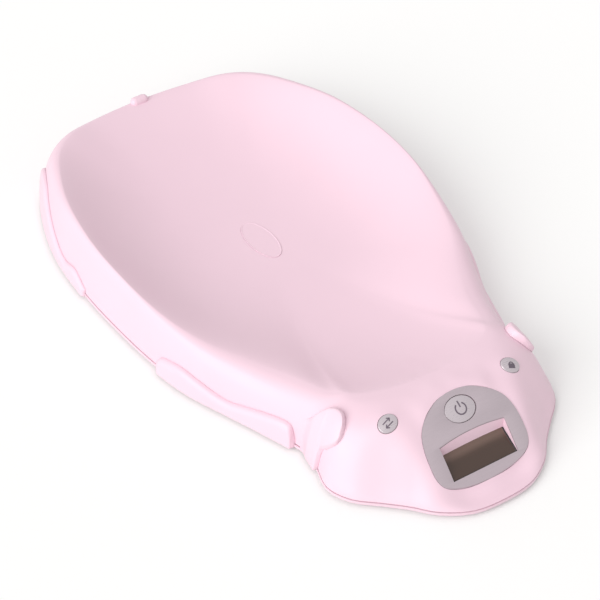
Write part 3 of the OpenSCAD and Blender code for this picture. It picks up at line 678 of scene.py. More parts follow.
class Nodes:
    """Adds and links the nodes of one tree."""

    def __init__(self, tree):
        self.tree = tree

    def node(self, kind, inputs=None, **settings):
        """Adds a node, and sets it and its sockets."""
        made = self.tree.nodes.new(kind)
        for key, value in settings.items():
            setattr(made, key, value)
        for key, value in (inputs or {}).items():
            made.inputs[key].default_value = value
        return made

    def link(self, out, into):
        """Joins an output to a socket."""
        self.tree.links.new(out, into)

    def calc(self, operation, *terms):
        """One step of arithmetic on numbers and other nodes' outputs."""
        made = self.node("ShaderNodeMath", operation=operation)
        for socket, term in zip(made.inputs, terms):
            if isinstance(term, (int, float)):
                socket.default_value = term
            else:
                self.link(term, socket)
        return made.outputs[0]

    def spread(self, value, low, high, start=0.3, end=0.7):
        """Maps a pattern to a range."""
        spread = self.node("ShaderNodeMapRange", {
            "From Min": start, "From Max": end, "To Min": low, "To Max": high})
        self.link(value, spread.inputs["Value"])
        return spread.outputs["Result"]


class Recipe(Nodes):
    """Builds one procedural material on Object coordinates."""

    def __init__(self, name):
        self.material = bpy.data.materials.new(name)
        self.material.use_nodes = True
        super().__init__(self.material.node_tree)
        self.shader = self.tree.nodes["Principled BSDF"]
        self.place = self.node("ShaderNodeTexCoord").outputs["Object"]

    def set(self, **values):
        """Sets the shader's own sockets."""
        for key, value in values.items():
            self.shader.inputs[key.replace("_", " ")].default_value = value

    def stretched(self, scale):
        """Object coordinates, stretched for a pattern with a direction."""
        mapping = self.node("ShaderNodeMapping", {"Scale": scale})
        self.link(self.place, mapping.inputs["Vector"])
        return mapping.outputs["Vector"]

    def noise(self, scale, detail=3.0, roughness=0.55, place=None):
        """A cloudy pattern."""
        noise = self.node("ShaderNodeTexNoise", {
            "Scale": scale, "Detail": detail, "Roughness": roughness})
        self.link(place or self.place, noise.inputs["Vector"])
        return noise.outputs["Fac"]

    def stripes(self, scale):
        """A pattern of bands across X."""
        wave = self.node(
            "ShaderNodeTexWave", {"Scale": scale}, wave_type="BANDS", bands_direction="X")
        self.link(self.place, wave.inputs["Vector"])
        return wave.outputs["Fac"]

    def tint(self, value, *stops):
        """Colours the surface over a pattern, by stops of place and colour."""
        ramp = self.node("ShaderNodeValToRGB")
        band = ramp.color_ramp
        while len(band.elements) < len(stops):
            band.elements.new(0.5)
        for element, (at, colour) in zip(band.elements, stops):
            element.position = at
            element.color = (*colour, 1)
        self.link(value, ramp.inputs["Fac"])
        self.link(ramp.outputs["Color"], self.shader.inputs["Base Color"])

    def shades(self, colour, value, amount):
        """Colours the surface a little lighter and darker over a pattern."""
        low = [max(0, c * (1 - amount)) for c in colour]
        high = [min(1, c * (1 + amount)) for c in colour]
        self.tint(value, (0.3, low), (0.7, high))

    def rough(self, value, low, high):
        """Varies the roughness over a pattern."""
        self.link(self.spread(value, low, high), self.shader.inputs["Roughness"])

    def bump(self, value, strength, distance=0.0002):
        """Raises the skin over a pattern."""
        bump = self.node("ShaderNodeBump", {"Strength": strength, "Distance": distance})
        self.link(value, bump.inputs["Height"])
        self.link(bump.outputs["Normal"], self.shader.inputs["Normal"])


def moulded(name, colour, gloss=0.36, coat=0.08):
    """Satin moulded plastic: nearly even, with a faint flow in its colour and its skin."""
    recipe = Recipe(name)
    recipe.shades(colour, recipe.noise(9, 2), 0.012)
    recipe.rough(recipe.noise(60, 3), gloss - 0.03, gloss + 0.04)
    recipe.bump(recipe.noise(24, 1), 0.05, 0.0003)
    recipe.set(Coat_Weight=coat, Coat_Roughness=0.25, Specular_IOR_Level=0.28)
    return recipe.material


def lacquered(name, colour, rough=0.36, metal=0.35, drawn=0.05):
    """Silver lacquer with a fine drawn grain and metallic specks."""
    recipe = Recipe(name)
    grain = recipe.noise(260, 3, 0.6, recipe.stretched((0.25, 5, 5)))
    speck = recipe.noise(1500, 1)
    mixed = recipe.calc("MULTIPLY_ADD", speck, 0.5, recipe.calc("MULTIPLY", grain, 0.5))
    recipe.shades(colour, mixed, drawn)
    recipe.rough(grain, rough - 0.05, rough + 0.06)
    recipe.bump(recipe.noise(30, 1), 0.04)
    recipe.set(Metallic=metal, Coat_Weight=0.2, Coat_Roughness=0.25)
    return recipe.material


def plain_plastic(name, colour, rough, grain):
    """Matt moulded plastic with a fine spark-eroded grain."""
    recipe = Recipe(name)
    recipe.shades(colour, recipe.noise(40, 2), 0.05)
    recipe.rough(recipe.noise(120), rough - 0.06, rough + 0.06)
    recipe.bump(recipe.noise(grain, 3), 0.2, 0.00005)
    return recipe.material


def zinc(name, colour):
    """Bright plated steel with rolling marks."""
    recipe = Recipe(name)
    marks = recipe.noise(90, 4, 0.6, recipe.stretched((8, 0.4, 8)))
    recipe.shades(colour, marks, 0.06)
    recipe.rough(marks, 0.26, 0.42)
    recipe.bump(marks, 0.08, 0.00005)
    recipe.set(Metallic=1.0)
    return recipe.material


def foot_rubber(name):
    """Matt grey rubber with a dusty, pitted skin."""
    recipe = Recipe(name)
    recipe.shades((0.16, 0.15, 0.16), recipe.noise(300, 4), 0.16)
    recipe.rough(recipe.noise(80), 0.72, 0.86)
    recipe.bump(recipe.noise(1500, 4), 0.35, 0.0001)
    recipe.set(Sheen_Weight=0.2)
    return recipe.material


def board_green(name):
    """Solder mask with faint tracks below it."""
    recipe = Recipe(name)
    tracks = recipe.node("ShaderNodeTexBrick", {
        "Scale": 260, "Mortar Size": 0.09, "Color1": (0.010, 0.13, 0.045, 1),
        "Color2": (0.012, 0.15, 0.05, 1), "Mortar": (0.03, 0.24, 0.09, 1)})
    recipe.link(recipe.place, tracks.inputs["Vector"])
    recipe.link(tracks.outputs["Color"], recipe.shader.inputs["Base Color"])
    recipe.rough(recipe.noise(200), 0.24, 0.34)
    recipe.bump(tracks.outputs["Fac"], 0.2, 0.00005)
    return recipe.material


def battery_jacket(name):
    """Satin printed jacket: a plain sleeve with a paler band."""
    recipe = Recipe(name)
    sleeve, dark, band = (0.12, 0.17, 0.24), (0.13, 0.18, 0.25), (0.5, 0.52, 0.54)
    recipe.tint(recipe.stripes(6), (0.0, sleeve), (0.86, dark), (0.9, band))
    recipe.rough(recipe.noise(90), 0.25, 0.36)
    recipe.bump(recipe.noise(700), 0.05, 0.00005)
    recipe.set(Metallic=0.3)
    return recipe.material


def flat_ribbon(name):
    """Copper-coloured film with fine parallel conductors."""
    recipe = Recipe(name)
    lines = recipe.stripes(260)
    recipe.tint(lines, (0.3, (0.42, 0.22, 0.05)), (0.7, (0.62, 0.37, 0.12)))
    recipe.rough(recipe.noise(100), 0.3, 0.4)
    recipe.bump(lines, 0.1, 0.00005)
    return recipe.material


def display_film(name, colour):
    """The blank display under its glossy cover, with a painted reflection paler towards its far
    edge.
    """
    recipe = Recipe(name)
    split = recipe.node("ShaderNodeSeparateXYZ")
    recipe.link(recipe.place, split.inputs["Vector"])
    wavy = recipe.calc("MULTIPLY_ADD", recipe.noise(14, 1), 0.006, split.outputs["Y"])
    far = (WINDOW_Y + LCD_L * math.cos(math.radians(LCD_TILT))) * MM
    along = recipe.spread(wavy, 0.0, 1.0, far - 0.0085, far - 0.001)
    # Painted reflection of the recess wall: darker at the near edge, pale at the far edge, wavy
    # between.
    deep = [c * 0.92 for c in colour]
    even = [c * 1.05 for c in colour]
    painted_reflection = [min(1, c * 1.9 + 0.02) for c in colour]
    recipe.tint(along, (0.0, deep), (0.35, even), (1.0, painted_reflection))
    recipe.rough(recipe.noise(40), 0.09, 0.14)
    recipe.bump(recipe.noise(1800), 0.02, 0.00002)
    recipe.set(Coat_Weight=0.25, Coat_Roughness=0.04, Specular_IOR_Level=0.3)
    return recipe.material


# Each material's maker and what it is given: a word stands for one of the colours that a user
# may change.
PAINTS = {
    "pink_shell": (moulded, "shell"),
    "pink_base": (moulded, "base", 0.38, 0.1),
    "face_silver": (lacquered, "silver"),
    "key_silver": (lacquered, "key", 0.3, 0.3, 0.015),
    "sign_paint": (plain_plastic, "mark", 0.5, 2000),
    "display": (display_film, "display"),
    "display_edge": (plain_plastic, (0.02, 0.018, 0.018), 0.35, 1500),
    "steel": (zinc, (0.55, 0.56, 0.58)),
    "contact_nickel": (zinc, (0.66, 0.63, 0.58)),
    "rubber": (foot_rubber,),
    "board": (board_green,),
    "white_plastic": (plain_plastic, (0.78, 0.77, 0.74), 0.45, 700),
    "dark_plastic": (plain_plastic, (0.02, 0.02, 0.023), 0.42, 900),
    "part_body": (plain_plastic, (0.36, 0.17, 0.06), 0.4, 900),
    "red_wire": (plain_plastic, (0.45, 0.03, 0.02), 0.42, 1600),
    "dark_wire": (plain_plastic, (0.02, 0.02, 0.022), 0.42, 1600),
    "jacket": (battery_jacket,),
    "ribbon": (flat_ribbon,),
}
MADE = {}


def paint(name):
    """The material of a name, made when first asked for."""
    if name not in MADE:
        maker, *given = PAINTS[name]
        colours = bpy.context.scene.scale_colours
        given = [tuple(getattr(colours, g)) if isinstance(g, str) else g for g in given]
        MADE[name] = maker(name, *given)
    return MADE[name]


# ---- Pieces ----


class SCALE_OT_upper_shell(bpy.types.Operator):
    """Models the smooth one-piece shell: tray dish, rim, waist ridge and console"""

    bl_idname = "scale.upper_shell"
    bl_label = "Upper Shell"

    def execute(self, context):
        sizes = context.scene.scale_shell
        half = LAST * sizes.around
        right = [row_at(column / sizes.around) for column in range(half + 1)]
        rows = right + [[flip(p) for p in row] for row in right[-2::-1]]
        rings = [(climb, 5 * i / sizes.up_wall) for i in range(sizes.up_wall + 1)]
        for i in range(1, sizes.in_dish + 1):
            rings.append((dish, 1 - (i / sizes.in_dish) ** RING_CROWDING))

        def place(column, ring):
            curve, share = rings[ring]
            row = rows[column]
            return curve(row if curve == climb else row[5], share) * MM

        shell = sheet("tray_shell", 2 * half, len(rings) - 1, place)
        bottom = Vector((0, DISH_CENTRE.y, DISH_FLOOR_Z)) * MM
        lowest = min(shell.data.polygons, key=lambda face: (face.center - bottom).length)
        if lowest.normal.z < 0:
            edit(shell, "FACE", "SELECT")
            bpy.ops.mesh.flip_normals()
            leave_edit()
        modified(shell, "SOLIDIFY", thickness=SHELL_WALL * MM, offset=-1)
        for vertex in shell.data.vertices:
            vertex.co.z = max(vertex.co.z, SKIRT_Z * MM)
        pocket = prism("pocket", plate_outline(PLATE_CLEAR), 0, HIGH)
        cut(pocket, face_drum("pocket_floor", PLATE_T - PLATE_PROUD))
        cut(shell, pocket)
        cut(shell, prism("window_cut", window_outline(), 0, HIGH))
        cut(shell, bore("power_bore", POWER_SIZE, POWER_BORE, power_place()))
        for side in (-1, 1):
            cut(shell, bore("small_bore", SMALL_SIZE, SMALL_BORE, small_place(side)))
        cut(shell, prism("pad_pocket", pad_outline(OVAL_CLEAR), DISH_FLOOR_Z - INLAY_SUNK, HIGH))
        complete(shell, 38, "pink_shell", "platform", "pink_shell", "upper_shell")
        return {"FINISHED"}


class SCALE_OT_pad_and_stud(bpy.types.Operator):
    """Models the oval pad in the dish and the stud on the rim"""

    bl_idname = "scale.pad_and_stud"
    bl_label = "Oval Pad and Rim Stud"

    def execute(self, context):
        low, high = DISH_FLOOR_Z - INLAY_SUNK, DISH_FLOOR_Z + INLAY_PROUD
        pad = prism("dish_pad", pad_outline(), low, high)
        edit(pad)
        pick(pad, faces_up)
        bpy.ops.mesh.inset(thickness=PAD_RIM * MM, depth=0)
        bpy.ops.mesh.inset(thickness=PAD_SLOPE[0] * MM, depth=-PAD_SLOPE[1] * MM)
        leave_edit()
        rounded(pad, PAD_EDGE)
        complete(pad, 12, "pink_shell", "platform", "pink_shell", "oval_inlay")

        stud = start(
            "rim_stud", bpy.ops.mesh.primitive_uv_sphere_add, segments=48, ring_count=32,
            radius=NUB[1] / 2 * MM)
        edit(stud, "VERT")
        for side in (-1, 1):
            bpy.ops.mesh.select_all(action="DESELECT")
            pick(stud, lambda vertex: vertex.co.x * side > NUB_CUT / 2 * MM, "verts")
            bpy.ops.transform.translate(value=(side * (NUB[0] - NUB[1]) / 2 * MM, 0, 0))
        bpy.ops.mesh.select_all(action="SELECT")
        bpy.ops.mesh.bisect(
            plane_co=(0, 0, NUB_CUT * MM), plane_no=(0, 0, -1), use_fill=True, clear_outer=True)
        leave_edit()
        rim = ROWS[0][5]
        settle(clean(stud), Matrix.Translation(Vector((0, rim.y, rim.z)) * MM))
        complete(stud, 50, "pink_shell", "platform", "pink_shell", "head_nub")
        return {"FINISHED"}


class SCALE_OT_face_plate(bpy.types.Operator):
    """Models the curved silver plate round the power button and the display window"""

    bl_idname = "scale.face_plate"
    bl_label = "Face Plate"

    def execute(self, context):
        plate = prism("silver_plate", plate_outline(), 0, HIGH)
        cut(plate, face_drum("plate_top", -PLATE_PROUD), "INTERSECT")
        cut(plate, face_drum("plate_floor", PLATE_T - PLATE_PROUD))
        cut(plate, prism("plate_window", window_outline(), 0, HIGH))
        cut(plate, bore("plate_bore", POWER_SIZE, POWER_BORE, power_place()))
        rounded(plate, PLATE_EDGE, 2, 50)
        complete(plate, 30, "face_silver", "platform", "face_silver", "face_plate")
        return {"FINISHED"}


# The recess's play in its window, how far its far wall slopes forward to its foot, its walls'
# thickness and how deep they start, then the panel's gap and its dark frame's width and step.
RECESS_PLAY = 0.02
WALL_SLOPE = 1.6
RECESS_WALL = 0.9
RECESS_SUNK = 0.5
PANEL_GAP = 0.2
FRAME_W = 1.2
FRAME_STEP = 0.12


class SCALE_OT_display(bpy.types.Operator):
    """Models the display's recess walls and the blank display under its cover"""

    bl_idname = "scale.display"
    bl_label = "Display"

    def execute(self, context):
        outline = window_outline(RECESS_PLAY)
        walls = loop(
            "display_walls", outline, lambda point: face_z(point.y) - RECESS_SUNK, "NOTHING")
        raise_all(walls, "EDGE", 0)
        for vertex in list(walls.data.vertices)[len(outline):]:
            along = vertex.co.y / MM
            share = min(1.0, max(0.0, (along - WINDOW_Y - WINDOW_L) / WINDOW_ARCH))
            vertex.co.z = lcd_level(along - WALL_SLOPE * share) * MM
            vertex.co.y -= WALL_SLOPE * share * MM
        clean(walls, outward=False)
        modified(walls, "SOLIDIFY", thickness=RECESS_WALL * MM, offset=1)
        clean(walls)
        complete(walls, 30, "pink_shell", "platform", "pink_shell", "display_bezel")

        size = (WINDOW_W - 2 * PANEL_GAP, LCD_L - PANEL_GAP, LCD_T)
        panel = block("display_panel", size, (0, (LCD_L + PANEL_GAP) / 2 * MM, -LCD_T / 2 * MM))
        edit(panel)
        pick(panel, faces_up)
        bpy.ops.mesh.inset(thickness=FRAME_W * MM, depth=0)
        bpy.ops.mesh.inset(thickness=FRAME_STEP * MM, depth=-FRAME_STEP * MM)
        leave_edit()
        dress(panel, "display_edge")
        panel.data.materials.append(paint("display"))
        max(filter(faces_up, panel.data.polygons), key=lambda face: face.area).material_index = 1
        settle(panel, lcd_place())
        smooth(panel, 30)
        stand_for(panel, "platform", "display_glass", "lcd_panel")
        return {"FINISHED"}


# Dome radius and flange height of each kind of cap. Then what the caps share: rounding of the
# edge, rise, width and thickness of the flange, and the stem's radius and lower end.
POWER_CAP = (60, -3.4)
SMALL_CAP = (30, -4.5)
CAP_EDGE = 1.3
CAP_RISE = 2.0
FLANGE_W = 1.3
FLANGE_T = 1.2
STEM = (3, -9.3)


def button(name, size, cap, place, body, node):
    """An oval press button: domed cap with a rounded edge, flange under the skin, and stem."""
    half = size[0] / 2
    dome, flange = cap
    top, edge = bowed(half - CAP_EDGE, CAP_RISE, dome)
    turn = [
        (half - CAP_EDGE * (1 - math.sin(a)), edge - CAP_EDGE * (1 - math.cos(a)))
        for a in [math.radians(15 * i) for i in range(1, 7)]
    ]
    wide, low = half + FLANGE_W, flange - FLANGE_T
    sides = [(half, flange), (wide, flange), (wide, low), (STEM[0], low), STEM, (0, STEM[1])]
    flatten = Matrix.Diagonal((1, size[1] / size[0], 1, 1))
    piece = turned(name, top + turn + sides, 128, place @ flatten)
    complete(piece, 30, "key_silver", body, "key_silver", node)


class SCALE_OT_buttons(bpy.types.Operator):
    """Models the power button and the two small buttons"""

    bl_idname = "scale.buttons"
    bl_label = "Buttons"

    def execute(self, context):
        place = power_place()
        button("power_cap", POWER_SIZE, POWER_CAP, place, "power_key", "power_button")
        button("unit_cap", SMALL_SIZE, SMALL_CAP, small_place(-1), "unit_key", "unit_button")
        button("hold_cap", SMALL_SIZE, SMALL_CAP, small_place(1), "hold_key", "hold_button")
        return {"FINISHED"}


# Thickness of the signs, and how deep they sit in the caps.
SIGN_T = 0.25
SIGN_SUNK = 0.12


def on_cap(piece, size, dome, place):
    """Lays a flat sign, drawn about the origin, on a domed cap at a place."""
    for vertex in piece.data.vertices:
        r = math.hypot(vertex.co.x, vertex.co.y * size[0] / size[1]) / MM
        drop = dome - math.sqrt(max(0.0, dome**2 - r * r))
        vertex.co.z += (CAP_RISE - drop - SIGN_SUNK) * MM
    settle(piece, place)


def arc_bar(name, radius, width, start_at, sweep, steps=40):
    """A flat curved stroke about the origin."""
    piece = start(name, bpy.ops.mesh.primitive_plane_add, size=1)
    for vertex in piece.data.vertices:
        vertex.co = ((radius + vertex.co.x * width) * MM, 0, (vertex.co.y + 0.5) * SIGN_T * MM)
    piece.data.transform(turn_about("Z", start_at))
    edit(piece)
    spin_all(steps, sweep)
    return clean(piece)


def stroke(name, width, length, at, turn=0.0):
    """A flat straight stroke."""
    piece = block(name, (width, length, SIGN_T))
    edit(piece, "EDGE", "SELECT")
    bpy.ops.mesh.subdivide(number_cuts=3)
    leave_edit()
    place = Matrix.Translation((at[0] * MM, at[1] * MM, SIGN_T / 2 * MM))
    return settle(piece, place @ turn_about("Z", turn))


def joined(name, pieces):
    """Joins pieces into one object."""
    nothing_selected()
    for piece in pieces:
        piece.select_set(True)
    bpy.context.view_layer.objects.active = pieces[0]
    bpy.ops.object.join()
    return named(name)


class SCALE_OT_signs(bpy.types.Operator):
    """Models the plain signs on the buttons: power, change of unit, and hold"""

    bl_idname = "scale.signs"
    bl_label = "Button Signs"

    def execute(self, context):
        power = joined("power_sign", [
            arc_bar("arc", 5.2, 1.25, 55, 290),
            stroke("bar", 1.25, 6.0, (0, 4.2)),
        ])
        on_cap(power, POWER_SIZE, POWER_CAP[0], power_place())
        arrows = []
        for side in (-1, 1):
            arrows.append(stroke("shaft", 8.4, 1.0, (0, side * 2.1)))
            for turn, off in ((-40, 0.9), (40, -0.9)):
                arrows.append(stroke("barb", 3.2, 1.0, (side * 3.1, side * (2.1 + off)), turn))
        unit = joined("unit_sign", arrows)
        on_cap(unit, SMALL_SIZE, SMALL_CAP[0], small_place(-1))
        hold = joined("hold_sign", [
            stroke("body", 6.4, 4.4, (0, -1.7)),
            arc_bar("shackle", 2.0, 0.95, 180, 180, 20),
            stroke("leg", 0.95, 1.4, (-2.0, 0.3)),
            stroke("leg", 0.95, 1.4, (2.0, 0.3)),
        ])
        on_cap(hold, SMALL_SIZE, SMALL_CAP[0], small_place(1))
        for sign, body in ((power, "power_key"), (unit, "unit_key"), (hold, "hold_key")):
            dress(sign, "sign_paint")
            stand_for(sign, body, "key_silver")
        return {"FINISHED"}


# Columns, thickness low down and at the top, edge radius, and how its first end rises.
STRIPS = {
    "grip_rear": (GRIP_REAR, GRIP_T, GRIP_T, 4.5, lambda run: quarter(run, 4.5)),
    "grip_middle": (
        GRIP_MIDDLE, MIDDLE_GRIP_T, MIDDLE_GRIP_T, 6.5, lambda run: quarter(run, 9)),
    "knob": (KNOB, GRIP_T, KNOB_T, 3.2, lambda run: ease(run / 18)),
}
# Gap under a strip, step for taking slopes, crowding of points towards the upper edge, and how
# far a lower edge lies from the foot, in rows, when it is fully rounded.
STRIP_LIFT = 0.2
NUDGE = 0.02
CROWDING = 1.7
FREE_EDGE = 1.5


def quarter(distance, radius):
    """How far a rounded edge has risen, as a share, at a distance from it."""
    left = 1 - min(max(distance / radius, 0.0), 1.0)
    return math.sqrt(max(0.0, 1 - left * left))


def ease(share):
    """A smooth rise from 0 to 1."""
    share = min(max(share, 0.0), 1.0)
    return share * share * (3 - 2 * share)


def column_at(columns, u):
    """A strip's column, smoothly between the given ones."""
    last = len(columns) - 1
    i = min(int(u), last - 1)
    a, b, c, d = columns[max(i - 1, 0)], columns[i], columns[i + 1], columns[min(i + 2, last)]
    return [between(a[k], b[k], c[k], d[k], u - i) for k in range(len(b))]


def lengths(points):
    """The distance run along a line of points, at each of them."""
    run = [0.0]
    for a, b in zip(points, points[1:]):
        run.append(run[-1] + (b - a).length)
    return run


def strip_points(columns, low_t, top_t, radius, lead, along=90, up=30):
    """Rings of points round a soft strip that lies on the outer skin, one ring per column."""
    last = len(columns) - 1
    sections = []
    for i in range(along + 1):
        column = column_at(columns, last * (1 - math.cos(math.pi * i / along)) / 2)
        s, low, high = column[:3]
        share = column[3] if len(column) > 3 else 0.0
        here, before, after = row_at(s), row_at(s - NUDGE), row_at(s + NUDGE)
        base, outward, thick = [], [], []
        for k in range(up + 1):
            v = 1 - (1 - k / up) ** CROWDING
            f = max(low + (high - low) * v, -1)
            g = max(f, 0.01)
            rise = climb(here, min(g + NUDGE, 5)) - climb(here, max(g - NUDGE, 0))
            normal = rise.cross(climb(after, g) - climb(before, g))
            if f <= 0:
                normal.z = 0
            base.append(climb(here, f))
            outward.append(normal.normalized())
            thick.append(GRIP_GAP + low_t + (top_t - low_t) * share * v - STRIP_LIFT)
        sections.append((base, outward, thick, min(max((low + 1) / FREE_EDGE, 0.0), 1.0)))
    run = lengths([section[0][up // 2] for section in sections])
    rings = []
    for i, (base, outward, thick, free) in enumerate(sections):
        climbed = lengths(base)
        ends = lead(run[i]) * quarter(run[-1] - run[i], radius)
        inner, outer = [], []
        for k in range(up + 1):
            edge = quarter(climbed[-1] - climbed[k], radius)
            foot = 1 - free * (1 - quarter(climbed[k], radius))
            inner.append(base[k] + outward[k] * STRIP_LIFT)
            outer.append(base[k] + outward[k] * (STRIP_LIFT + thick[k] * ends * edge * foot))
        rings.append(inner + outer[::-1] + inner[:1])
    return rings


class SCALE_OT_side_grips(bpy.types.Operator):
    """Models the soft-edged side grips and the knobs beside the waist"""

    bl_idname = "scale.side_grips"
    bl_label = "Side Grips and Knobs"

    def execute(self, context):
        for kind, strip in STRIPS.items():
            rings = strip_points(*strip)
            for side, end in ((-1, "left"), (1, "right")):

                def place(column, k):
                    point = rings[column][k]
                    return side * point.x * MM, point.y * MM, point.z * MM

                node = f"{kind}_{end}"
                grip = sheet(f"soft_{node}", len(rings) - 1, len(rings[0]) - 1, place)
                complete(grip, 60, "pink_base", "base", "pink_base", node)
        return {"FINISHED"}


# The battery door's finger ridges: count, step, first place from its edge, length, thickness.
RIDGES = 5
RIDGE_STEP = 2.6
RIDGE_FIRST = 9
RIDGE_L = 22
RIDGE_T = 1.4


class SCALE_OT_base(bpy.types.Operator):
    """Smooths the base with its flange and gives the underside its finish"""

    bl_idname = "scale.base"
    bl_label = "Base"

    def execute(self, context):
        tub = merged_copy("base_tub", "lower_base")
        complete(tub, 30, "pink_base", "base", "pink_base", "base_tub")
        door = merged_copy("battery_door", "bay_door")
        complete(door, 30, "pink_base", "door", "pink_base", "battery_door")
        near_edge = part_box("battery_door")[0].y
        ridges = []
        for i in range(RIDGES):
            at = (0, near_edge + (RIDGE_FIRST + RIDGE_STEP * i) * MM, FOOT_H * MM)
            ridges.append(rounded(block("ridge", (RIDGE_L, RIDGE_T, RIDGE_T), at), 0.5, 3))
        grip = joined("door_ridges", ridges)
        complete(grip, 35, "pink_base", "door", "pink_base")
        return {"FINISHED"}


# A foot's half section, from its middle out and up, with two rings sunk into its sole, and
# where the feet of one side stand.
FOOT = (
    (0, 0.3), (3, 0.3), (3.3, 0), (5.6, 0), (5.9, 0.35), (6.7, 0.35), (7, 0), (9.4, 0),
    (9.7, 0.35), (10.5, 0.35), (10.8, 0), (12.1, 0), (12.7, 0.3), (13, 1), (13, 3.4),
    (12.8, 3.6), (4, 3.6), (4, 7), (0, 7),
)
FOOT_AT = ((95, Y_WAIST + 331), (84, Y_WAIST + 28))


class SCALE_OT_feet(bpy.types.Operator):
    """Models the four ringed rubber feet"""

    bl_idname = "scale.feet"
    bl_label = "Rubber Feet"

    def execute(self, context):
        feet = []
        for side in (-1, 1):
            for x, y in FOOT_AT:
                place = Matrix.Translation((side * x * MM, y * MM, 0))
                feet.append(turned("foot", FOOT, 72, place))
        pads = joined("foot_pads", feet)
        complete(pads, 30, "rubber", "base", "foot_rubber", "rubber_feet")
        return {"FINISHED"}


# The material of each part inside the scale.
INNER = {
    "lcd_holder": "white_plastic", "cell_holders": "white_plastic", "wire_plugs": "white_plastic",
    "display_ribbon": "ribbon", "power_plunger": "dark_plastic", "unit_plunger": "dark_plastic",
    "hold_plunger": "dark_plastic", "key_switches": "dark_plastic", "control_chip": "dark_plastic",
    "buzzer": "dark_plastic", "board_parts": "part_body", "main_board": "board",
    "side_key_boards": "board", "board_screws": "steel", "platform_bracket": "steel",
    "bracket_screws": "steel", "retaining_screws": "steel", "load_cell_tongues": "steel",
    "load_cell_frames": "steel", "battery_contacts": "contact_nickel", "batteries": "jacket",
    "cell_wires": "red_wire", "battery_leads": "dark_wire",
}


class SCALE_OT_inner_parts(bpy.types.Operator):
    """Gives the parts inside the scale their materials"""

    bl_idname = "scale.inner_parts"
    bl_label = "Inner Parts"

    def execute(self, context):
        for node, name in INNER.items():
            dress(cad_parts[node], name)
        return {"FINISHED"}


# ---- Stage ----


# The floor's side in metres and its glow, the spread of the broad light in degrees and its
# distance in metres, the sensor's width in millimetres and how far the camera sees in metres.
FLOOR_SIZE = 12
FLOOR_GLOW = 0.13
KEY_SPREAD = 50
KEY_AWAY = 3
SENSOR = 36
CLIP_END = 30


def floor_material():
    """Near-white floor that keeps the shadow and shows as white to the camera elsewhere."""
    recipe = Recipe("studio_floor")
    recipe.set(Base_Color=(0.86, 0.853, 0.845, 1), Specular_IOR_Level=0.0)
    recipe.rough(recipe.noise(30), 0.85, 0.95)
    seen = recipe.node("ShaderNodeLightPath").outputs["Is Camera Ray"]
    glow = recipe.node("ShaderNodeEmission")
    recipe.link(recipe.calc("MULTIPLY", seen, FLOOR_GLOW), glow.inputs["Strength"])
    both = recipe.node("ShaderNodeAddShader")
    recipe.link(recipe.shader.outputs[0], both.inputs[0])
    recipe.link(glow.outputs[0], both.inputs[1])
    recipe.link(both.outputs[0], recipe.tree.nodes["Material Output"].inputs["Surface"])
    return recipe.material


def towards(azimuth, height):
    """The direction that a bearing and a height above the horizon give."""
    level = math.cos(height)
    return Vector((level * math.sin(azimuth), -level * math.cos(azimuth), math.sin(height)))


def broad_light(azimuth, height, strength):
    """A soft, even light from far away."""
    data = bpy.data.lights.new("broad_light", "SUN")
    data.energy = strength
    data.angle = math.radians(KEY_SPREAD)
    light = bpy.data.objects.new("broad_light", data)
    bpy.context.scene.collection.objects.link(light)
    way = towards(azimuth, height)
    light.rotation_euler = way.to_track_quat("Z", "Y").to_euler()
    light.location = way * KEY_AWAY


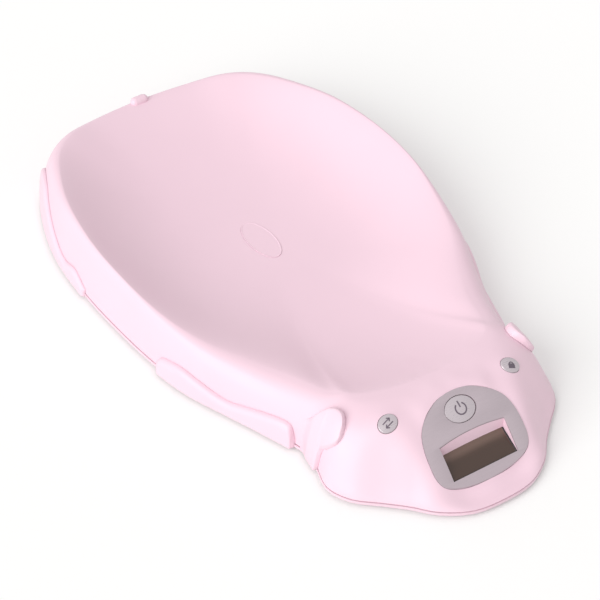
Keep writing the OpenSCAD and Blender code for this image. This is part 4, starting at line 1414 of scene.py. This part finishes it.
class SCALE_OT_stage(bpy.types.Operator):
    """Sets up the floor, the soft light and the camera"""

    bl_idname = "scale.stage"
    bl_label = "Studio"

    def execute(self, context):
        scene = context.scene
        studio = scene.scale_studio
        floor = start("studio_floor", bpy.ops.mesh.primitive_plane_add, size=FLOOR_SIZE)
        floor.data.materials.append(floor_material())

        scene.world = bpy.data.worlds.new("studio_sky")
        scene.world.use_nodes = True
        nodes = Nodes(scene.world.node_tree)
        sky = nodes.tree.nodes["Background"]
        sky.inputs["Color"].default_value = (1, 1, 1, 1)
        path = nodes.node("ShaderNodeLightPath")
        seen = nodes.calc(
            "MAXIMUM", path.outputs["Is Camera Ray"], path.outputs["Is Glossy Ray"])
        nodes.link(nodes.spread(seen, studio.sky, 1.0, 0.0, 1.0), sky.inputs["Strength"])

        broad_light(studio.key_azimuth, studio.key_height, studio.key_power)

        back = towards(studio.azimuth, studio.elevation)
        level_right = Vector((math.cos(studio.azimuth), math.sin(studio.azimuth), 0))
        level_up = back.cross(level_right)
        right = level_right * math.cos(studio.roll) + level_up * math.sin(studio.roll)
        up = level_up * math.cos(studio.roll) - level_right * math.sin(studio.roll)
        data = bpy.data.cameras.new("photo_camera")
        data.lens = studio.lens
        data.sensor_width = SENSOR
        data.clip_end = CLIP_END
        camera = bpy.data.objects.new("photo_camera", data)
        scene.collection.objects.link(camera)
        turn = Matrix((right, up, back)).transposed().to_4x4()
        at = Vector(studio.target) + back * studio.distance
        camera.matrix_world = Matrix.Translation(at) @ turn
        scene.camera = camera
        scene.view_settings.view_transform = "Standard"
        return {"FINISHED"}


STEPS = (
    "stage", "upper_shell", "pad_and_stud", "face_plate", "display", "buttons", "signs",
    "side_grips", "base", "feet", "inner_parts",
)


class SCALE_PT_panel(bpy.types.Panel):
    """Lists the steps that dress the scale"""

    bl_idname = "SCALE_PT_panel"
    bl_label = "Baby Weighing Scale"
    bl_space_type = "VIEW_3D"
    bl_region_type = "UI"
    bl_category = "Scale"

    def draw(self, context):
        for step in STEPS:
            self.layout.operator(f"scale.{step}")
        scene = context.scene
        for group in (scene.scale_shell, scene.scale_colours, scene.scale_studio):
            box = self.layout.box()
            for name in group.__annotations__:
                box.prop(group, name)


CLASSES = (
    ShellSizes, ScaleColours, StudioSettings, SCALE_OT_upper_shell, SCALE_OT_pad_and_stud,
    SCALE_OT_face_plate, SCALE_OT_display, SCALE_OT_buttons, SCALE_OT_signs, SCALE_OT_side_grips,
    SCALE_OT_base, SCALE_OT_feet, SCALE_OT_inner_parts, SCALE_OT_stage, SCALE_PT_panel,
)


def register():
    for made in CLASSES:
        bpy.utils.register_class(made)
    bpy.types.Scene.scale_shell = PointerProperty(type=ShellSizes)
    bpy.types.Scene.scale_colours = PointerProperty(type=ScaleColours)
    bpy.types.Scene.scale_studio = PointerProperty(type=StudioSettings)


def unregister():
    del bpy.types.Scene.scale_studio
    del bpy.types.Scene.scale_colours
    del bpy.types.Scene.scale_shell
    for made in reversed(CLASSES):
        bpy.utils.unregister_class(made)


def main():
    register()
    for step in STEPS:
        getattr(bpy.ops.scale, step)()


if __name__ == "__main__":
    main()
